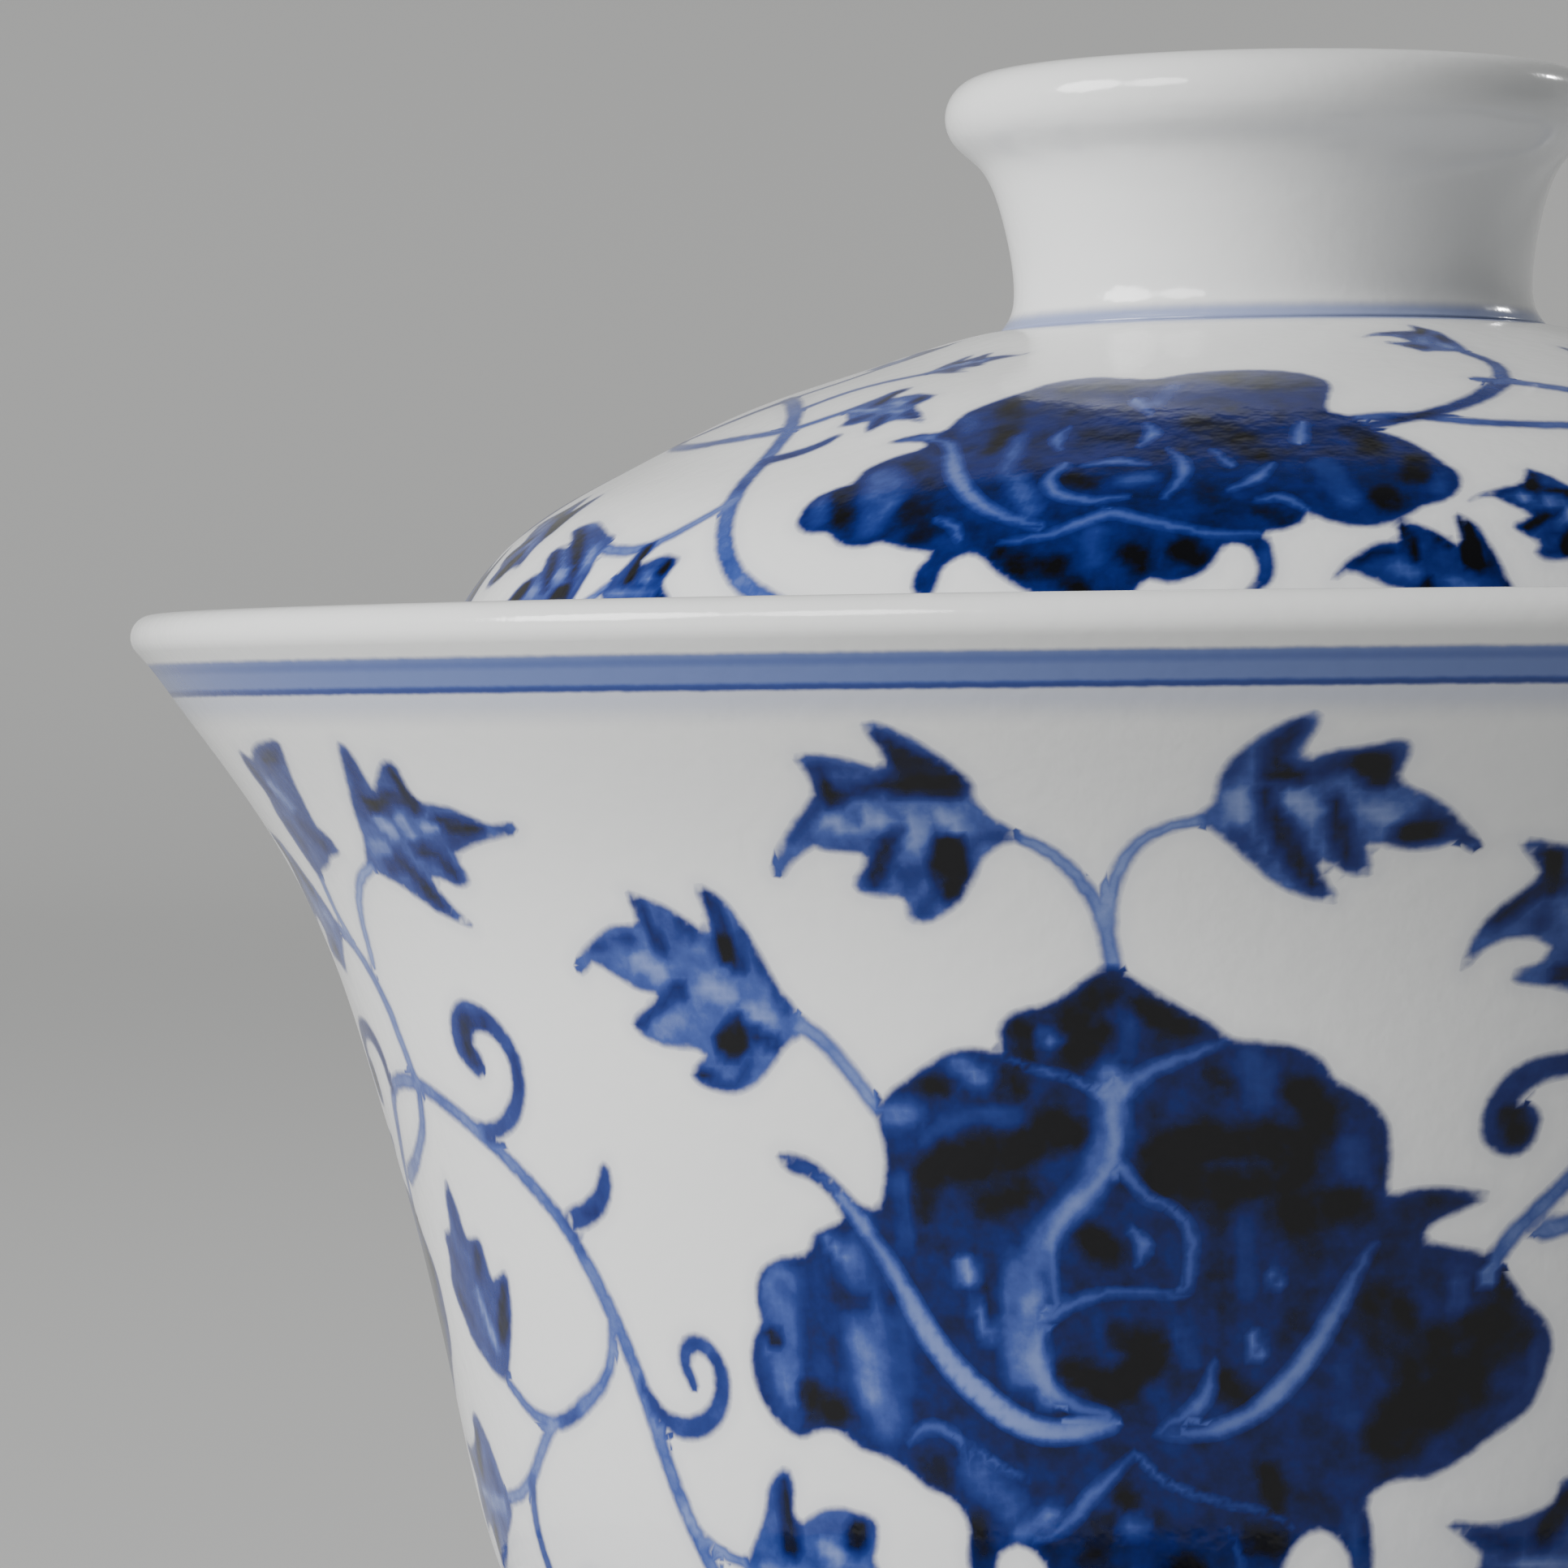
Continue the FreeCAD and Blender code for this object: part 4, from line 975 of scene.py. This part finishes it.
# The lid's repeat is measured across, and down from the middle of the dome towards the flower
# A leaf used again is (name, stalk end, turn in degrees, scale, tone added)
lidScroll = {
    "stalks": [
        ([(-19.2, 12.2), (-18.2, 15), (-17.4, 18), (-17.1, 21), (-17.4, 24), (-17.9, 27), (-18, 30),
         (-17.6, 32.5), (-16.6, 34.6), (-14.9, 36.4), (-12.4, 38.6), (-8, 40.8), (-1, 41.6)],
         [0.35, 0.45, 0.45, 0.36], 0.36),
        ([(-18, 28.2), (-20, 28.8), (-22.2, 28.6), (-24, 27.3), (-25.4, 25.4)], [0.3, 0.32], 0.3),
        ([(-21.4, 28.8), (-23.6, 29.5), (-26, 29.3), (-27.6, 28.4)], [0.28, 0.26], 0.26),
        ([(8.6, 26.9), (9.9, 25.6), (11.6, 23.8), (12.8, 21.6), (13.4, 19)], [0.4, 0.4, 0.5], 0.6),
        ([(7.6, 26.3), (10, 25), (13.4, 24.1), (16.8, 22.2), (19.4, 19.6)], [0.35, 0.35], 0.42),
        ([(19.4, 19.6), (21, 17), (20.8, 14)], [0.35, 0.3], 0.36),
        ([(13.4, 19), (12.6, 16.6), (10.8, 15)], [0.4, 0.3], 0.5),
        ([(-17.5, 17.6), (-14.6, 16.6), (-11.6, 16.8)], [0.3, 0.26], 0.36),
    ],
    "washes": [
        (10.2, 25.4, 11.6, 23.8, 0.4, 0.82), (-17.4, 25, -17.8, 27, 0.4, 0.5),
    ],
    "leaves": [
        ("frontRight", (-24.4, 26), 196, 0.9, 0.08), ("left", (-27.4, 28.5), -26, 0.62, 0.12),
        ("under", (-24.5, 29.8), 34, 0.62, 0.12), ("frontLeft", (20.6, 30.4), 2, 0.72, 0.15),
        ("thorn", (-17.4, 24.2), 32, 0.9), ("left", (17.4, 35.6), -22, 0.8, 0.25),
        ("farLeft", (-11.8, 16.8), 4, 0.42), ("hooked", (10.9, 15), 8, 0.6),
        ("under", (20.8, 14.4), -60, 0.6),
    ],
    "flower": {
        "tone": 0.77,
        "outline": [
            (-11.4, 26.2), (-10.2, 25.9), (-9, 26.1), (-8.6, 25.2), (-8.2, 24.4), (-7.1, 23.6),
            (-6, 22.9), (-5, 22.2), (-3.4, 21.9), (-2, 22.3), (-0.6, 22.6), (0.8, 21.9), (2.6, 21.4),
            (4.6, 21.3), (6.2, 21.9), (6.9, 23), (7, 24.3), (7.3, 25.4), (8.2, 25.7), (9.4, 26.6),
            (10.6, 27), (11.8, 27.8), (12.6, 28.6), (13.4, 29.3), (13.7, 30.4), (13.4, 31.5),
            (12.6, 32.3), (12, 33.2), (11.2, 34), (10.2, 34.4), (8.9, 34.4), (8.1, 34.1), (7.9, 34.8),
            (7.2, 35.3), (6.5, 35.6), (7, 36.3), (7.3, 37.3), (7.1, 38.2), (6, 38.9), (6.5, 38),
            (6.4, 37.1), (5.8, 36.4), (5, 36.5), (4.7, 37.4), (3.9, 38.2), (2.9, 38.5), (2, 38.4),
            (1.4, 39.1), (0.5, 39.5), (-0.9, 39.6), (-2.4, 39.3), (-3.5, 38.6), (-4.6, 37.8), (-5.3, 37),
            (-5.9, 36.6), (-7, 37), (-7.2, 37.8), (-7.8, 38.5), (-8.4, 37.8), (-8.3, 36.9), (-7.7, 36.2),
            (-8.8, 35.7), (-10, 35), (-11, 34.9), (-12, 34.4), (-12.8, 33.4), (-13.7, 33), (-14.3, 32.2),
            (-14.2, 31.2), (-13.8, 30.4), (-12.9, 30), (-12.2, 29.9), (-12, 29), (-11.4, 28.3),
            (-10.4, 27.8), (-9.6, 27.6), (-9.8, 26.9),
        ],
        "washes": [
            (-11, 26.4, -9.4, 26.4, 0.3, 0.4), (-13.3, 31, -13.2, 32.2, 0.5, 0.5),
            ([(-10.8, 29.8), (-10.4, 32), (-10.6, 33.8)], [0.8, 1, 0.6], 0.5),
            (-12.6, 30.6, -12, 32.8, 0.5, 0.93), (-9.8, 28.8, -8.8, 30.6, 0.5, 0.85),
            (-8.8, 33, -8.2, 34.8, 0.7, 0.9),
            ([(-6.6, 24.2), (-6, 26.6), (-6.4, 29)], [0.5, 0.6, 0.4], 0.9),
            (-8, 25.2, -7.8, 26.6, 0.4, 0.55), (-4, 23.4, -2, 23.6, 0.7, 0.85),
            (2.6, 22.6, 5.4, 23, 0.7, 0.88), (0.4, 23.6, 0, 25.4, 0.4, 0.5),
            (-5.3, 28, -5.2, 31.5, 0.35, 0.5), (-4.6, 32, -3.6, 34.4, 0.5, 0.46),
            (-2, 28.2, -0.4, 28.6, 0.6, 0.85), (-2.2, 32.3, -1.2, 32.6, 0.5, 0.9),
            (0.2, 32.6, 1, 32.4, 0.5, 0.5), ([(2, 27.3), (4.2, 28.6), (5.2, 30)], [0.7, 0.7, 0.5], 0.92),
            (3.4, 33, 4.4, 34.4, 0.5, 0.84), (8.6, 27, 9.6, 28.4, 0.6, 0.93),
            (8, 30.4, 9.4, 32.8, 0.6, 0.55), (11.6, 29, 11.8, 30.4, 0.55, 0.97),
            (10.9, 32.2, 11.2, 32.6, 0.6, 0.97), (12.8, 29.8, 12.9, 31, 0.35, 0.6),
            (6.4, 34.4, 7.2, 34.6, 0.4, 0.93),
            ([(-4.6, 36.9), (-3.2, 37.6), (-2, 37.7)], [0.4, 0.6, 0.6], 0.96),
            (-1.6, 38.4, -1, 38.8, 0.5, 0.96), (1, 37.2, 1.6, 37.6, 0.5, 0.98),
            (3.2, 36.8, 4, 37, 0.6, 0.96), (-0.6, 36, -0.4, 37.4, 0.4, 0.58),
            (-8, 36.6, -7.6, 37.6, 0.3, 0.72), (6.8, 36.6, 6.9, 37.6, 0.25, 0.6),
        ],
        "pale": [
            ([(-9.6, 26.6), (-8.5, 27.5), (-8, 29), (-7.5, 30.8), (-6.8, 32.3), (-5.8, 33.7), (-4.5, 34.8),
             (-3, 35.4)], [0.14, 0.32, 0.42, 0.4, 0.3, 0.16]),
            ([(-3.3, 27.4), (-3.6, 28.4), (-3.3, 29.5)], [0.14, 0.32, 0.14]),
            ([(0, 27.4), (0.4, 28.4), (0.1, 29.5)], [0.14, 0.38, 0.14]),
            ([(-2.8, 31), (-3.2, 32.2), (-2.6, 33.4), (-1.2, 34), (0.4, 33.8)], [0.22, 0.35, 0.29, 0.14]),
            ([(-2, 31.2), (-0.6, 30.9), (0.8, 31.2)], [0.14, 0.35, 0.14]),
            ([(1.4, 29.8), (2.2, 31), (2.4, 32.4), (2, 33.8)], [0.14, 0.35, 0.17]),
            ([(3.2, 29.8), (4.2, 31.1)], [0.14, 0.26]),
            ([(5.9, 30.8), (5.5, 32.1), (4.6, 33.1)], [0.17, 0.35, 0.14]),
            ([(6.4, 27), (6.6, 28.4)], [0.29, 0.38]),
            ([(-4.6, 36.2), (-2.6, 36), (-1.1, 35.3), (0, 34.9), (1.1, 35.2), (2.6, 35.6), (4.6, 35.9),
             (6.3, 35.7)], [0.14, 0.29, 0.29, 0.23, 0.14]),
            ([(5.8, 33.7), (6.8, 33.3), (7.9, 33.9)], [0.14, 0.29, 0.17]),
            ([(-7.7, 34.2), (-6.8, 34.9), (-6.5, 35.7)], [0.14, 0.26, 0.14]),
            ([(-0.8, 25.2), (0, 26.6)], [0.38, 0.14]),
        ],
    },
}


# Making the pieces

def paintedRows(rings, columns, fine):
    # The finely divided rings: their rows, point numbers and angles
    columns = np.array(columns)
    start = np.concatenate([[0], np.cumsum(columns)])
    rows = np.nonzero(columns == fine)[0]
    angle = 2 * np.pi * np.arange(fine) / fine - np.pi
    where = (start[rows][:, None] + np.arange(fine)[None, :]).ravel()
    return rows, where, angle


def makeBowl():
    # The wall is laid flat as angle times one radius across, and length down the wall
    rings, columns = bowlRings()
    rows, where, angle = paintedRows(rings, columns, bowl["fine"])
    outer, _ = bowlOutside()
    path = pathOf(outer)
    heights = outer[:, 1] + bowl["base"]
    down = np.interp(rimEdge, heights, path) - np.interp(rings[rows, 1], heights, path)
    around = 2 * np.pi * bowl["flatRadius"]
    canvas = newCanvas(np.tile(angle * bowl["flatRadius"], len(rows)), np.repeat(-down, len(angle)), around)
    for k in range(bowl["repeats"]):
        place = placing(bowl["wander"] if k else 0.0, shift=k * around / bowl["repeats"])
        paintUnit(canvas, place, bowlScroll)
    print("bowl wall painted over", round(float(down[0]), 1), "mm of its height along the wall")
    material = porcelain("bowlGlaze", lines=bowl["lines"], bare=bowl["bare"])
    colours = canvasColours(sum(columns), where, canvas)
    turnedPiece("porcelainBowl", rings, columns, material, "bowl", "bowl", colours)


def roundCanvas(rings, rows, angle):
    # Path length out from the axis along the surface, laid flat as a disc
    line = rings[rows]
    outward = line if line[0, 0] < line[-1, 0] else line[::-1]
    far = np.interp(line[:, 0], outward[:, 0], outward[0, 0] + pathOf(outward))
    return newCanvas((far[:, None] * np.sin(angle)).ravel(), (-far[:, None] * np.cos(angle)).ravel())


def makeLid():
    # The dome with its painting, then the plain knob
    rings, columns = lidRings()
    rows, where, angle = paintedRows(rings, columns, lid["fine"])
    canvas = roundCanvas(rings, rows, angle)
    for k in range(lid["repeats"]):
        turn = math.radians(lid["turn"] + 360 * k / lid["repeats"])
        paintUnit(canvas, placing(lid["wander"] if k else 0.0, turn=turn, polar=(0, 1)), lidScroll)
    material = porcelain("lidGlaze", lines=lid["lines"])
    colours = canvasColours(sum(columns), where, canvas)
    turnedPiece("porcelainLid", rings, columns, material, "lid", "lid_dome", colours)
    rings, columns = knobRings()
    material = porcelain("knobGlaze", painted=False, lines=lid["knobLines"])
    turnedPiece("lidKnob", rings, columns, material, "lid", "lid_knob")


def makeSaucer():
    # The dish carries the lid's scroll, smaller and moved out past the well
    rings, columns = saucerRings()
    rows, where, angle = paintedRows(rings, columns, saucer["fine"])
    canvas = roundCanvas(rings, rows, angle)
    for k in range(saucer["repeats"]):
        turn = math.radians(saucer["turn"] + 360 * k / saucer["repeats"])
        paintUnit(canvas, placing(saucer["wander"], turn=turn, polar=saucer["polar"]), lidScroll)
    material = porcelain("saucerGlaze", lines=saucer["lines"], bare=saucer["bare"])
    colours = canvasColours(sum(columns), where, canvas)
    turnedPiece("porcelainSaucer", rings, columns, material, "saucer", "saucer",
                colours)


makeBowl()
makeLid()
makeSaucer()


# Studio, in metres

studio = {
    "floor": (0.5, 0.5, 0.49, 1), "wide": 4.0, "back": 1.6, "cove": 0.7, "high": 3.0, "near": 4.0,
    "sky": (0.29, 0.30, 0.31, 1), "skyStrength": 0.42, "aim": (0, 0, 0.045),
    "window": {"at": (-0.84, -0.30, 0.44), "kind": "SUN", "angle": 25, "power": 3.9},
    "lamp": {"at": (-0.52, -0.56, 0.46), "kind": "AREA", "size": 0.3, "power": 4.6},
    "rim": {"at": (0.46, 0.44, 0.42), "kind": "AREA", "size": 0.035, "power": 1.2},
}


def makeFloor():
    # A flat floor that curves up behind: a straight run, a quarter circle, then a straight rise
    s = studio
    bend = arc((s["back"], s["cove"]), s["cove"], 270, 360, 17)
    line = np.vstack([[-s["near"], 0], bend, [s["back"] + s["cove"], s["high"]]])
    count = len(line)
    sides = np.vstack([np.column_stack([np.full(count, x), line]) for x in (-s["wide"], s["wide"])])
    k = np.arange(count - 1)
    faces = np.column_stack([k, k + count, k + count + 1, k + 1])
    mesh = bpy.data.meshes.new("floor")
    mesh.from_pydata(sides.tolist(), [], faces.tolist())
    mesh.polygons.foreach_set("use_smooth", np.ones(count - 1, bool))
    material = bpy.data.materials.new("paleFloor")
    material.use_nodes = True
    shader = material.node_tree.nodes["Principled BSDF"]
    shader.inputs["Base Color"].default_value = s["floor"]
    shader.inputs["Roughness"].default_value = 0.8
    mesh.materials.append(material)
    floor = bpy.data.objects.new("floor", mesh)
    bpy.context.collection.objects.link(floor)


def addLight(name, spec):
    # A sun or a round lamp at its place, facing the middle of the bowl
    data = bpy.data.lights.new(name, spec["kind"])
    data.energy = spec["power"]
    if spec["kind"] == "SUN":
        data.angle = math.radians(spec["angle"])
    else:
        data.shape = "DISK"
        data.size = spec["size"]
    light = bpy.data.objects.new(name, data)
    light.location = spec["at"]
    light.rotation_mode = "QUATERNION"
    light.rotation_quaternion = (light.location - Vector(studio["aim"])).to_track_quat("Z", "Y")
    bpy.context.collection.objects.link(light)


makeFloor()
for lamp in ("window", "lamp", "rim"):
    addLight(lamp + "Light", studio[lamp])
world = bpy.data.worlds.new("studioWorld")
world.use_nodes = True
world.node_tree.nodes["Background"].inputs["Color"].default_value = studio["sky"]
world.node_tree.nodes["Background"].inputs["Strength"].default_value = studio["skyStrength"]
bpy.context.scene.world = world
print("floor and lights placed")


# Camera, with distances in metres, angles in degrees and the lens in mm

view = {
    "distance": 0.300, "below": 0.00196, "aimLeft": 4.118, "aimDown": 0.67, "roll": -0.51, "lens": 157.08,
}

cameraData = bpy.data.cameras.new("camera")
cameraData.lens = view["lens"]
cameraData.sensor_width = 36.0
cameraData.clip_start = 0.01
camera = bpy.data.objects.new("camera", cameraData)
bpy.context.collection.objects.link(camera)
camera.location = (0, -view["distance"], rimEdge / 1000 - view["below"])
turnLeft = Matrix.Rotation(math.radians(view["aimLeft"]), 4, "Z")
tilt = Matrix.Rotation(math.radians(90 - view["aimDown"]), 4, "X")
lean = Matrix.Rotation(math.radians(view["roll"]), 4, "Z")
camera.rotation_mode = "QUATERNION"
camera.rotation_quaternion = (turnLeft @ tilt @ lean).to_quaternion()
bpy.context.scene.camera = camera
print("camera placed")
